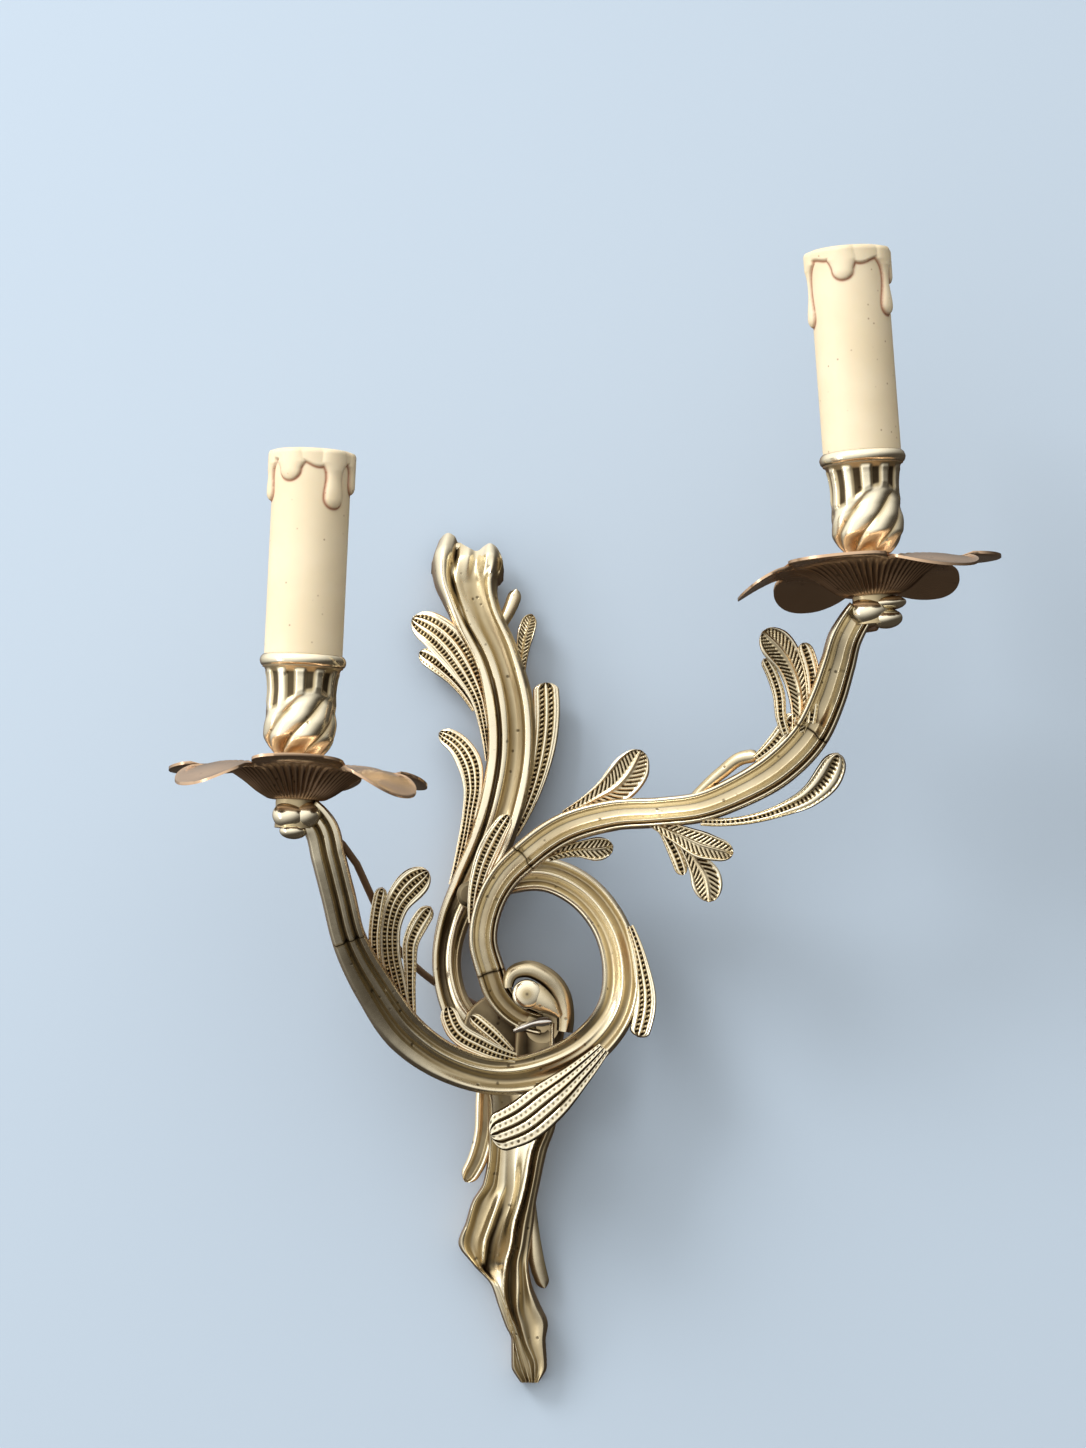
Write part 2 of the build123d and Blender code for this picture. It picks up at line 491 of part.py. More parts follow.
def make_light(drips):
    """Everything above one seat, in the frame of that candle."""
    bore = NIPPLE_R + SLIP
    nut = Pos(0, 0, 18.5) * extrude(RegularPolygon(7.6, 6), 3) - along_z(bore, 15, 25)
    holder = along_z(HOLDER_R, HOLDER_FOOT, HOLDER_TOP) - along_z(bore, HOLDER_FOOT - 1, 68)
    holder = holder - along_z(SOCKET_R + 0.5, 80, HOLDER_TOP + 1) - along_z(1.6, 65, 85)
    shell = along_z(SOCKET_R + 0.5, 84, 104) - along_z(SOCKET_R, 83, 105)
    contact = along_z(3.0, 80, 81) + along_z(1.9, 81, 82.4)
    return {
        "nipple": along_z(NIPPLE_R, -6, 66) - along_z(NIPPLE_BORE_R, -7, 67),
        "drip_pan": make_pan(),
        "collar": make_collar(),
        "candle_cup": make_cup(),
        "lock_nut": nut,
        "lampholder_body": holder,
        "lampholder_shell": shell,
        "lampholder_contact": contact,
        "candle_sleeve": make_sleeve(drips),
    }


LEFT_DRIPS = [(-80, 15.5, 2.4), (-34, 8.5, 2.1), (41, 16.5, 2.7), (82, 12.0, 2.2), (150, 11.0, 2.2), (-140, 13.0, 2.3)]
RIGHT_DRIPS = [(-84, 23.0, 2.5), (-13, 9.5, 2.1), (60, 21.0, 2.6), (88, 11.0, 2.1), (140, 14.0, 2.3), (-150, 10.0, 2.2)]

right_flex = flex_points(RIGHT_FLEX_INSIDE, RIGHT_ARM, RIGHT_FLEX_JOINS, RIGHT_SEAT, RIGHT_LEAN)
left_flex = flex_points(LEFT_FLEX_INSIDE, LEFT_ARM, LEFT_FLEX_JOINS, LEFT_SEAT, LEFT_LEAN)

nodes = {
    "backplate": make_backplate([right_flex, left_flex]),
    "centre_scroll": make_centre_scroll(),
    "right_arm_lower": add_leaves(cast_strip(RIGHT_ARM, arm_outline, *RIGHT_SEAMS[:2]), RIGHT_LOWER_LEAVES),
    "right_arm_middle": add_leaves(cast_strip(RIGHT_ARM, arm_outline, *RIGHT_SEAMS[1:]), RIGHT_MIDDLE_LEAVES),
    "right_arm_upper": make_arm_end(
        RIGHT_ARM, RIGHT_SEAMS[2], RIGHT_UPPER_LEAVES, RIGHT_SEAT, RIGHT_LEAN, 1, right_flex
    ),
    "left_arm_ring": make_left_ring(),
    "left_arm_upper": make_arm_end(LEFT_ARM, LEFT_SEAM, {}, LEFT_SEAT, LEFT_LEAN, -1, left_flex),
    "right_flex": wire_along(right_flex, WIRE_R),
    "left_flex": wire_along(left_flex, WIRE_R),
    **make_fixings(),
    **make_terminals(),
}
for side, seat, lean, drips in (
    ("left", LEFT_SEAT, LEFT_LEAN, LEFT_DRIPS), ("right", RIGHT_SEAT, RIGHT_LEAN, RIGHT_DRIPS),
):
    for name, shape in make_light(drips).items():
        nodes[f"{side}_{name}"] = seat_place(seat, lean) * shape

# All of it is drawn with the wall at Y = 0, then moved so that the hanging hole's middle is the origin.
to_hanger = Pos(0, -(STRAP_BACK + STRAP_FRONT) / 2, 0)
os.makedirs("parts", exist_ok=True)
for name, shape in nodes.items():
    shape = to_hanger * shape
    solids = shape.solids()
    print(name, len(solids), "solid(s)", "valid" if shape.is_valid else "NOT VALID", round(shape.volume), "mm3")
    export_step(shape, f"parts/{name}.step")
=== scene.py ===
# %% [markdown]
# # A rococo candle wall sconce
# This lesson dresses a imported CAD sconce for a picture. The CAD frame gives the sizes, the joints and the
# hidden fittings. The castings, pans, cups and sleeves are modelled again here, with finer relief than
# the CAD holds.

# %% Set up the scene
import math

import bpy
import numpy as np
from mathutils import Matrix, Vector


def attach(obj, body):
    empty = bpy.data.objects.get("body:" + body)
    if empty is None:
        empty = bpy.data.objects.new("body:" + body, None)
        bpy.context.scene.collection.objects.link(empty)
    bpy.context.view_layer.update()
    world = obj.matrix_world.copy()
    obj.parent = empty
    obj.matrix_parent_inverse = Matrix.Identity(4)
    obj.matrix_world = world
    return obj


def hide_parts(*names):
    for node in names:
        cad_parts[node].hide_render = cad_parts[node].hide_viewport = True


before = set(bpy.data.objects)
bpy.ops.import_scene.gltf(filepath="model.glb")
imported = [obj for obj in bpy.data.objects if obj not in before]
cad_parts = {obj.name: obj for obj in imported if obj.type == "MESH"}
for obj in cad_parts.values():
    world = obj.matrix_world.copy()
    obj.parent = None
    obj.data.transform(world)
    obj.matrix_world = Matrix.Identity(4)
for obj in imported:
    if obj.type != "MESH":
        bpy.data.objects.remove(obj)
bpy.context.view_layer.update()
MM = 0.001

# %% [markdown]
# ## The castings as spines
# The backplate and the arms are brass castings, butted together end to end. Each is a scroll, so it could
# be a bevelled curve, but a bevel keeps one section all the way. A spine that carries a moulded section
# lets the section change as it goes. Each row below is one station: x, y, z of the front rims at
# mid-width, and the width, in millimetres, with y counted from the wall. The arms repeat the CAD part's
# rows, and the stem's head is measured again. The part's origin is the hanging hole in its strap, so HANG
# moves every place there.

# %% Spines of the stem and the arms
HANG = np.array([0.0, 2.75, 0.0])
STEM = [
    (-13.9, -10.5, 68.0, 22.6), (-14.3, -13.5, 63.0, 24.6), (-15.0, -15.2, 56.5, 21.8),
    (-13.8, -15.8, 50.0, 18.6), (-11.6, -16, 43.6, 16.8), (-5.0, -16, 29.5, 15.6),
    (-0.6, -16, 12.6, 16.6), (0.1, -16, -2.6, 16.2), (-2.6, -17, -19.5, 15.4), (-7.0, -18, -33.6, 14.6),
    (-13.6, -18, -47.7, 12.8), (-19.4, -18, -60.4, 10.4), (-21.6, -18, -73.8, 9.4),
    (-18.6, -18, -88.0, 10.0), (-8.5, -18, -101.5, 14.0), (0.5, -18, -113.0, 19.0),
    (3.6, -18, -124.0, 22.0),
]
RIGHT_ARM = [
    (10.5, -30, -94.0, 8.6), (1.9, -31, -90.6, 9.0), (-3.7, -32, -84.5, 9.4), (-6.3, -33, -77.5, 9.6),
    (-9.0, -35, -66.6, 9.4), (-7.0, -37, -55.1, 9.6), (-1.7, -40, -45.6, 10.0), (4.3, -43, -39.8, 10.3),
    (17.1, -48, -30.7, 10.5), (32.8, -54, -26.1, 10.2), (49.0, -61, -25.2, 9.6), (61.8, -67, -23.8, 9.9),
    (74.0, -73, -19.2, 11.0), (87.0, -80, -11.5, 12.2), (96.7, -86, -1.2, 12.4), (101.6, -90, 9.2, 12.0),
    (105.0, -94, 20.0, 11.2), (107.6, -98, 29.2, 10.4), (112.0, -100, 36.6, 9.6),
]
RIGHT_SEAMS = (3, 7, 14)
LEFT_ARM = [
    (-11.0, -27, -51.0, 9.0), (-0.2, -27, -45.8, 10.6), (11.5, -27.4, -44.6, 11.4),
    (22.5, -29, -49.3, 12.0), (32.1, -32, -60.0, 12.2), (36.7, -36, -74.9, 12.7),
    (34.9, -41, -89.7, 13.0), (26.3, -46, -101.2, 13.2), (12.2, -51, -108.9, 13.0),
    (-3.1, -55, -111.4, 12.2), (-19.3, -60, -107.2, 12.6), (-33.4, -67, -97.4, 13.6),
    (-42.9, -75, -83.8, 12.8), (-51.0, -84, -67.9, 11.0), (-54.6, -91, -53.1, 10.8),
    (-57.4, -96, -41.5, 10.8), (-60.2, -99, -31.4, 10.6), (-64.0, -100, -27.0, 10.0),
]
LEFT_SEAM = 13
ARM_DEPTH = 8.5      # front rims to back lips
ARM_LIP = 2.0
ARM_CEILING = 4.0    # front rims to the roof of the wire channel
LEAF_THICKNESS = 2.4
SHELL_SIDE = 2.4
SHELL_FRONT = 4.2
print("stations:", len(STEM), "on the stem,", len(RIGHT_ARM), "and", len(LEFT_ARM), "on the arms")

# %% [markdown]
# ## Walking along a spine
# Between two rows the spine is a cubic curve that leaves and arrives in the spine's own direction of
# travel. At every step the section stands square to that direction and faces the viewer as nearly as it
# can.

# %% Steps along a spine
FRONT = np.array([0.0, -1.0, 0.0])


def unit(v):
    return v / np.linalg.norm(v)


def travel(points):
    gaps = [b - a for a, b in zip(points, points[1:])]
    sizes = [np.linalg.norm(g) for g in gaps]
    inner = [
        unit(gaps[i] / sizes[i] * sizes[i + 1] + gaps[i + 1] / sizes[i + 1] * sizes[i])
        for i in range(len(gaps) - 1)
    ]
    first = unit(2 * gaps[0] / sizes[0] - inner[0])
    last = unit(2 * gaps[-1] / sizes[-1] - inner[-1])
    return [first, *inner, last]


def steps(rows, first, last, pitch):
    """Points, directions, widths and distances run, every pitch or so from one row to another."""
    points = [np.array(row[:3], float) for row in rows]
    ways = travel(points)
    widths = np.array([row[3] for row in rows], float)
    run = np.cumsum([0] + [np.linalg.norm(b - a) for a, b in zip(points, points[1:])])
    slopes = np.gradient(widths, run)
    made = []
    for i in range(first, last):
        gap = run[i + 1] - run[i]
        count = max(3, round(gap / pitch))
        for t in np.arange(count + (i == last - 1)) / count:
            a, b, c, d = 2 * t**3 - 3 * t**2 + 1, t**3 - 2 * t**2 + t, 3 * t**2 - 2 * t**3, t**3 - t**2
            place = a * points[i] + b * gap * ways[i] + c * points[i + 1] + d * gap * ways[i + 1]
            width = a * widths[i] + b * gap * slopes[i] + c * widths[i + 1] + d * gap * slopes[i + 1]
            slope = (6 * t**2 - 6 * t) * (points[i] - points[i + 1])
            slope = slope + (3 * t**2 - 4 * t + 1) * gap * ways[i] + (3 * t**2 - 2 * t) * gap * ways[i + 1]
            made.append((place, unit(slope), width, run[i] + t * gap - run[first]))
    return made


def whole(rows, pitch):
    """The steps along all the rows of a spine."""
    return steps(rows, 0, len(rows) - 1, pitch)


# %% [markdown]
# ## A strip of relief
# Extruding a profile by hand along these curls would take hundreds of steps, so a strip starts as a flat
# grid. Its columns go once around the section and its rows go along the spine. The grid's corners are
# moved to their places, the two edge columns are merged into a seam, and the ends are closed. A point
# value called hollow is kept on the mesh for the finish: 1 at the bottom of a groove, 0 on a worn crest.
# The dark it gives is patina and painted shade together: the shade that falls into grooves and recesses
# is painted in with it.

# %% Make strips from grids
def shaped_grid(name, places, hollow):
    """A grid whose corners go to places[row][column], with the hollow value on its points."""
    rows, columns = places.shape[:2]
    bpy.ops.object.select_all(action="DESELECT")
    bpy.ops.mesh.primitive_grid_add(x_subdivisions=columns - 1, y_subdivisions=rows - 1, size=1)
    made = bpy.context.object
    made.name = name
    made.data.vertices.foreach_set("co", ((places + HANG) * MM).reshape(-1))
    made.data.attributes.new("hollow", "FLOAT", "POINT").data.foreach_set("value", hollow.reshape(-1))
    made.data.update()
    return made


def close_up(made, smooth=50):
    """Merges the seam, closes the ends, turns the faces outward and smooths all but sharp edges."""
    bpy.ops.object.select_all(action="DESELECT")
    made.select_set(True)
    bpy.context.view_layer.objects.active = made
    bpy.ops.object.mode_set(mode="EDIT")
    bpy.ops.mesh.select_all(action="SELECT")
    bpy.ops.mesh.remove_doubles(threshold=0.00001)
    bpy.ops.mesh.fill_holes(sides=0)
    bpy.ops.mesh.select_all(action="SELECT")
    bpy.ops.mesh.normals_make_consistent(inside=False)
    bpy.ops.object.mode_set(mode="OBJECT")
    bpy.ops.object.shade_smooth_by_angle(angle=math.radians(smooth))
    return made


def strip(name, walk, section, painted_shade=0.0, lead=None, ends=False):
    """Carries section(place, width, distance, share of the way) along the steps of a walk.

    The fourth argument paints shade over the whole strip, for a piece that lies in another part's
    shadow, and ends darkens its two end rows, where it meets its neighbours. Where a lead is given,
    lead(across, heights, distance) draws the strip's first rows out against the direction of travel, so
    that its end need not be straight."""
    total = walk[-1][3]
    places, hollow = [], []
    for place, way, width, distance in walk:
        facing = unit(FRONT - way * FRONT.dot(way))
        left = np.cross(facing, way)
        across, up, dark = section(place, width, distance, distance / total)
        row = place + np.outer(across, left) + np.outer(up, facing)
        if lead:
            row = row - np.outer(lead(across / width * 2, up, distance), way)
        places.append(row)
        hollow.append(dark)
    # Painted shade from the fourth argument is added to every row's darkness.
    hollow = np.array(hollow, float) + painted_shade
    if ends:
        hollow[[0, -1]] = 1
    return close_up(shaped_grid(name, np.array(places), hollow))


def bump(x, middle, half):
    """A smooth hill of height 1 around a middle."""
    t = np.clip(1 - np.abs((x - middle) / half), 0, 1)
    return t * t * (3 - 2 * t)


# %% [markdown]
# ## Moulded stems
# A stem's front changes along its way: rims, ribs and coves come and go. So a moulding is a list of
# stations, each at a share of the way. A station lists (place across, height, darkness) from the right
# edge, -1, to the left edge, 1, as the stem travels. Heights are shares of half the width. Between the
# points the front is a smooth curve.

# %% Sections of the stems
ACROSS = np.linspace(-1, 1, 57)


def through(*pairs):
    """A smooth curve y(x) through (x, y) pairs that never overshoots them."""
    xs, ys = (np.array(values, float) for values in zip(*pairs))
    rises = np.diff(ys) / np.diff(xs)
    both = rises[1:] * rises[:-1]
    middle = np.where(both > 0, 2 * both / (rises[1:] + rises[:-1] + 1e-9), 0)
    slopes = np.concatenate([rises[:1], middle, rises[-1:]])

    def value(x):
        i = np.clip(np.searchsorted(xs, x) - 1, 0, len(xs) - 2)
        gap = xs[i + 1] - xs[i]
        t = np.clip((x - xs[i]) / gap, 0, 1)
        rise = (2 * t**3 - 3 * t**2 + 1) * ys[i] + (3 * t**2 - 2 * t**3) * ys[i + 1]
        return rise + gap * ((t**3 - 2 * t**2 + t) * slopes[i] + (t**3 - t**2) * slopes[i + 1])

    return value


def moulding(stations):
    """Returns front(width, share): the places across, the heights and the darkness of a strip's front."""
    shares = [share for share, points in stations]
    fronts = []
    for share, points in stations:
        places, heights, darks = zip(*points)
        fronts.append((through(*zip(places, heights))(ACROSS), np.interp(ACROSS, places, darks)))

    def front(width, share):
        after = int(np.clip(np.searchsorted(shares, share), 1, len(shares) - 1)) if len(shares) > 1 else 0
        before = max(after - 1, 0)
        span = shares[after] - shares[before] or 1
        t = np.clip((share - shares[before]) / span, 0, 1)
        height = (1 - t) * fronts[before][0] + t * fronts[after][0]
        dark = (1 - t) * fronts[before][1] + t * fronts[after][1]
        return ACROSS * width / 2, height * width / 2, dark

    return front


def open_back(across, height, dark, half, lip, depth, ceiling):
    """Adds the sides, the back edges and the channel between them to a front."""
    inside = half - lip
    middle = -0.45 * depth
    back_across = [half, half, inside, inside, -inside, -inside, -half, -half, -half]
    back_height = [middle, -depth, -depth, -ceiling, -ceiling, -depth, -depth, middle, height[0]]
    back_dark = [0.45, 0.6, 0.8, 1, 1, 0.8, 0.6, 0.45, dark[0]]
    return np.append(across, back_across), np.append(height, back_height), np.append(dark, back_dark)


def arm_section(stations):
    """The section of an arm: an open channel at the back, where the lamp flex lies."""
    front = moulding(stations)

    def section(place, width, distance, share):
        across, height, dark = front(width, share)
        return open_back(across, height, dark, width / 2, ARM_LIP, ARM_DEPTH, ARM_CEILING)

    return section


def stem_section(stations):
    """The backplate's section: its sides run back to the wall and it is hollow behind."""
    front = moulding(stations)

    def section(place, width, distance, share):
        across, height, dark = front(width, share)
        ceiling = min(SHELL_FRONT, -place[1] - 1)
        return open_back(across, height, dark, width / 2, SHELL_SIDE, -place[1], ceiling)

    return section


# %% [markdown]
# ## Leaves
# A leaf is a thin strip with a rounded tip, and its front is chased. A feather has slanting dashes on
# both sides of a rib. A ladder has long ridges, with short cross dashes in the furrows between them. A
# slant is a ladder with slanting dashes and a blunt end. A fan has thin black lines and rows of dots. A
# channel has only two rims, and a plain leaf is a rounded bud. The dashes are real relief, so that they
# catch the light from any side.

# %% Sections of the leaves
LEAF_ACROSS = np.linspace(-1, 1, 61)
LEAF_STEP = 0.36
BLUNT_TIP = 0.3       # length of a rounded end, as a share of the leaf's width near it
ROUND_TIP = 0.6


def chased(width, distance, kind, ridges, pitch):
    """Places across and heights, in millimetres, and darkness of a leaf's front."""
    v = LEAF_ACROSS
    half = width / 2
    rim = bump(np.abs(v), 0.88, 0.17)
    inner = np.clip((0.82 - np.abs(v)) / 0.1, 0, 1)
    height = -0.6 + 0.45 * rim - 0.25 * v * v
    dark = 0.3 * (1 - rim)
    if kind == "feather":
        rib = bump(v, 0, 0.14)
        slant = distance - np.abs(v) * half * 0.9
        dash = np.clip(np.cos(2 * math.pi * slant / pitch) * 1.3, 0, 1) * inner
        dash = dash * np.clip((np.abs(v) - 0.14) / 0.1, 0, 1)
        height = height + 0.35 * rib - 0.5 * dash
        dark = dark + 0.85 * dash
    elif kind in ("ladder", "slant"):
        wave = 0.5 + 0.5 * np.cos(math.pi * (v * ridges + (ridges + 1) % 2))
        furrow = np.clip(1.25 - 1.5 * wave, 0, 1) * inner
        run = distance + (0.7 * v * half if kind == "slant" else 0)
        dash = np.clip(np.cos(2 * math.pi * run / pitch) * 1.8 + 0.3, 0, 1) * furrow
        height = height + 0.4 * wave * inner - 0.25 * furrow - 0.5 * dash
        dark = dark - 0.25 * wave * inner + 0.15 * furrow + 0.85 * dash
    elif kind == "fan":
        lane = (v + 1) / 2 * ridges % 1
        line = np.clip(1.6 * bump(np.abs(lane - 0.5), 0.5, 0.2), 0, 1)
        stagger = distance / pitch + 0.37 * np.floor((v + 1) / 2 * ridges)
        dot = bump(lane, 0.5, 0.22) * bump(stagger % 1, 0.5, 0.3)
        height = -0.3 - 0.3 * v * v - 0.6 * line - 0.3 * dot
        dark = 1.2 * line + 1.0 * dot
    elif kind == "channel":
        height = -1.3 + 1.3 * bump(np.abs(v), 0.7, 0.5)
        dark = 0.7 - 0.75 * bump(np.abs(v), 0.7, 0.55)
    else:
        height = -1.2 * v * v
        dark = 0.3 + 0.5 * np.abs(v) ** 3
    return half * v, height * min(1.0, half / 1.6), np.clip(dark, 0, 1.15)


def leaf_section(kind, ridges, pitch, tip):
    """The section of a leaf whose end is rounded off over the last part of its length."""

    def section(place, width, distance, share):
        if share > 1 - tip:
            width = width * max(0.06, math.sqrt(max(0, 1 - ((share - 1 + tip) / tip) ** 2)))
        across, height, dark = chased(width, distance, kind, ridges, pitch)
        half = width / 2
        back = -LEAF_THICKNESS
        back_across = [half, 0.6 * half, 0, -0.6 * half, -half, -half]
        back_height = [back * 0.8, back, back, back, back * 0.8, height[0]]
        back_dark = [0.6] * 5 + [dark[0]]
        return np.append(across, back_across), np.append(height, back_height), np.append(dark, back_dark)

    return section


def leaf(name, kind, ridges, pitch, rows):
    """A chased leaf along its own short spine, drawn out a little past its last row to a round end."""
    points = [np.array(row[:3], float) for row in rows]
    blunt = 0.5 * (rows[-1][3] + rows[-2][3])
    end = points[-1] + travel(points)[-1] * blunt * 0.34
    rows = [*rows[:-1], (*points[-1], blunt), (*end, blunt * 0.96)]
    walk = whole(rows, LEAF_STEP)
    tip = BLUNT_TIP if kind in ("slant", "fan") else ROUND_TIP
    return strip(name, walk, leaf_section(kind, ridges, pitch, tip * blunt / walk[-1][3]))


# %% [markdown]
# ## The leaves' places
# Each leaf lists its chasing, the number of ridges, the pitch of its dashes and its rows from root to
# tip.

# %% Leaves of the backplate
BACKPLATE_LEAVES = {
    "upper_left": ("ladder", 4, 1.4, [
        (-7.4, -13, -6.0, 2.6), (-8.6, -13.4, 5.8, 4.4), (-10.5, -13.4, 14.9, 6.2),
        (-15.2, -13, 25.2, 10.4), (-20.8, -12, 33.4, 12.6), (-26.6, -10.5, 38.6, 11.4),
        (-30.6, -9, 41.0, 9.0)]),
    "upper_left_small": ("ladder", 2, 1.4, [
        (-11.6, -11.6, 11.4, 3.4), (-19.4, -11, 22.2, 5.2), (-25.4, -9.6, 27.6, 6.6),
        (-29.4, -8, 30.2, 5.4)]),
    "middle_left": ("ladder", 4, 1.4, [
        (-19.4, -15, -48.0, 3.2), (-15.6, -15, -33.6, 4.6), (-13.8, -14.4, -23.4, 5.0),
        (-12.7, -14, -14.7, 6.6), (-14.1, -12.6, -6.4, 8.4), (-18.8, -10.5, 0.4, 7.2),
        (-22.6, -9, 2.8, 5.0)]),
    "bud_upper": ("plain", 1, 1.3, [
        (-4.2, -12.4, 39.0, 4.0), (-0.6, -11.8, 45.0, 4.4), (1.5, -10.6, 50.8, 5.0)]),
    "bud_lower": ("feather", 1, 1.3, [
        (3.2, -12, 23.3, 3.4), (4.0, -11.6, 31.4, 4.4), (5.4, -11, 38.4, 5.8), (6.6, -9.5, 42.4, 4.6)]),
    "side_right": ("slant", 3, 1.7, [
        (1.0, -12.4, -30.8, 3.2), (7.6, -12.4, -15.7, 5.8), (11.8, -11.8, 4.4, 8.6),
        (11.9, -10.8, 17.6, 9.0)]),
    "tail_curl": ("channel", 1, 1, [
        (-7.6, -14.6, -108.0, 7.0), (-8.2, -14.6, -120.0, 7.0), (-9.0, -14.2, -132.4, 6.8),
        (-11.6, -13, -141.0, 6.6), (-14.2, -11.6, -145.6, 5.6)]),
    "tail_leaf_right": ("plain", 1, 1, [
        (6.4, -10, -150.0, 3.4), (7.4, -9.6, -163.0, 4.2), (9.0, -8.8, -175.0, 5.2),
        (11.0, -7.4, -181.6, 4.0)]),
}

# %% Leaves of the arms
RIGHT_LOWER_LEAVES = {
    "left": ("ladder", 3, 1.3, [
        (-12.4, -34.0, -61.0, 3.0), (-10.6, -36.0, -47.0, 5.8), (-6.4, -38, -35.6, 7.2),
        (-1.4, -38, -26.8, 3.2)]),
}
RIGHT_MIDDLE_LEAVES = {
    "up": ("feather", 1, 1.7, [
        (17.6, -46.6, -25.8, 3.0), (27.6, -50, -20.8, 6.6), (35.6, -51.5, -16.0, 12.0),
        (40.0, -52, -10.6, 12.0), (41.4, -52.2, -8.0, 9.6)]),
    "under": ("feather", 1, 1.6, [
        (12.4, -42.6, -39.6, 3.0), (22.0, -45, -37.0, 5.2), (29.0, -46, -36.8, 7.8),
        (31.6, -46, -36.4, 6.6)]),
    "trefoil_long": ("feather", 1, 1.6, [
        (46.0, -58.6, -28.6, 2.8), (56.0, -61.4, -33.1, 6.9), (62.6, -63.4, -36.2, 9.0),
        (68.2, -64.2, -37.8, 7.4), (70.4, -64.4, -38.4, 6.0)]),
    "trefoil_broad": ("feather", 1, 1.7, [
        (55.4, -58.6, -33.6, 2.8), (60.6, -59.6, -41.0, 6.4), (63.9, -59.8, -46.8, 10.0),
        (64.8, -59.6, -51.4, 9.0)]),
    "trefoil_short": ("ladder", 2, 1.5, [
        (49.4, -57.4, -30.6, 2.6), (54.0, -57.4, -38.4, 4.6), (56.2, -57.2, -44.4, 4.0)]),
    "low": ("ladder", 2, 1.5, [
        (62.0, -66.0, -28.6, 2.6), (77.0, -70, -28.2, 3.0), (88.4, -73.8, -25.0, 4.6),
        (96.9, -77, -20.8, 7.2), (102.4, -80, -15.0, 9.2), (104.6, -82, -10.4, 7.0)]),
    "bud": ("plain", 1, 1, [
        (60.0, -66.0, -20.6, 3.0), (68.8, -70.5, -12.9, 4.2), (74.9, -73.5, -8.5, 4.4),
        (78.4, -75, -7.8, 4.2)]),
    "fan_foot": ("ladder", 2, 1.5, [
        (79.0, -77, -9.0, 2.6), (85.4, -81.4, -3.6, 5.0), (90.6, -84.6, 3.4, 6.0)]),
}
RIGHT_UPPER_LEAVES = {
    "fan": ("feather", 1, 1.5, [
        (92.6, -85.0, -0.6, 4.6), (93.2, -86.0, 11.9, 7.8), (90.4, -87.4, 20.5, 9.0),
        (86.2, -88.6, 26.6, 10.6), (83.8, -89, 29.0, 9.4)]),
    "fan_left": ("ladder", 2, 1.3, [
        (88.8, -84.6, -1.5, 2.8), (87.4, -85.2, 3.0, 3.4), (86.4, -86.0, 11.8, 4.0),
        (83.8, -87, 19.0, 3.8), (82.4, -87.4, 21.6, 3.2)]),
    "fan_back": ("ladder", 2, 1.3, [
        (96.6, -87, 2.0, 3.0), (97.4, -87.6, 12.0, 4.6), (96.8, -88.4, 19.0, 5.2),
        (94.6, -89, 26.0, 5.0)]),
}
LEFT_RING_LEAVES = {
    "fan_long": ("ladder", 4, 1.35, [
        (-33.0, -66, -93.5, 4.0), (-36.6, -69.4, -80.6, 6.4), (-38.4, -72.4, -71.0, 6.6),
        (-38.0, -75, -61.6, 7.0), (-36.0, -76.5, -55.4, 8.4), (-31.8, -77.5, -50.0, 10.0),
        (-28.6, -78, -47.2, 8.6)]),
    "fan_outer": ("ladder", 2, 1.35, [
        (-40.4, -73, -84.0, 3.0), (-43.4, -76, -67.6, 3.8), (-42.2, -78, -56.6, 4.2),
        (-41.2, -79, -52.0, 3.8)]),
    "fan_inner": ("ladder", 2, 1.35, [
        (-31.6, -64, -93.0, 3.0), (-32.2, -66, -75.9, 4.2), (-31.7, -68, -67.2, 5.4),
        (-29.4, -69, -62.2, 6.0), (-26.8, -70, -58.2, 5.0)]),
    "inside": ("ladder", 3, 1.4, [
        (2.1, -53.6, -105.4, 3.4), (-9.0, -56, -101.6, 6.4), (-17.4, -57, -96.2, 6.8),
        (-19.8, -57, -90.6, 5.6)]),
    "inside_small": ("ladder", 2, 1.4, [
        (0.6, -51.6, -103.6, 3.0), (-6.7, -53, -96.8, 4.8), (-11.6, -53, -92.6, 4.4)]),
    "side": ("slant", 3, 1.7, [
        (39.4, -33.4, -62.0, 3.0), (43.2, -36, -75.0, 5.4), (44.6, -39, -88.0, 7.2),
        (43.0, -41, -96.0, 6.4)]),
    "low": ("fan", 4, 2.0, [
        (31.0, -46.4, -102.0, 4.6), (22.4, -51, -110.8, 9.0), (11.8, -53, -120.2, 14.0),
        (3.6, -53.6, -126.4, 14.4), (-2.0, -53.8, -128.9, 12.4)]),
}

# %% [markdown]
# ## Materials
# Old gilt brass is dark in its hollows and worn bright on its crests. One node group gives every old
# brass this patina, so that all of them age alike. It takes the hollow value and returns a colour, a
# roughness and a height: grooves go dark brown and dull, crests stay bright, and small casting pits lie
# in the worn hollows. The dark of the grooves, down to near black, is also painted shade: it stands in
# for the shade that falls into them.

# %% Patina and painted shade node group
NOISE_DETAIL = 4


def add_node(tree, kind, **settings):
    made = tree.nodes.new(kind)
    for key, value in settings.items():
        setattr(made, key, value)
    return made


def mix_colour(tree, share, first, second):
    """A colour mix whose three ends may be sockets or plain values."""
    made = add_node(tree, "ShaderNodeMix", data_type="RGBA")
    for socket, value in zip((made.inputs[0], made.inputs[6], made.inputs[7]), (share, first, second)):
        if hasattr(value, "is_output"):
            tree.links.new(value, socket)
        else:
            socket.default_value = value
    return made.outputs[2]


def arithmetic(tree, operation, *values):
    made = add_node(tree, "ShaderNodeMath", operation=operation)
    for socket, value in zip(made.inputs, values):
        if hasattr(value, "is_output"):
            tree.links.new(value, socket)
        else:
            socket.default_value = value
    return made.outputs[0]


def noise(tree, place, scale):
    made = add_node(tree, "ShaderNodeTexNoise")
    made.inputs["Scale"].default_value = scale
    made.inputs["Detail"].default_value = NOISE_DETAIL
    tree.links.new(place, made.inputs["Vector"])
    return made.outputs["Fac"]


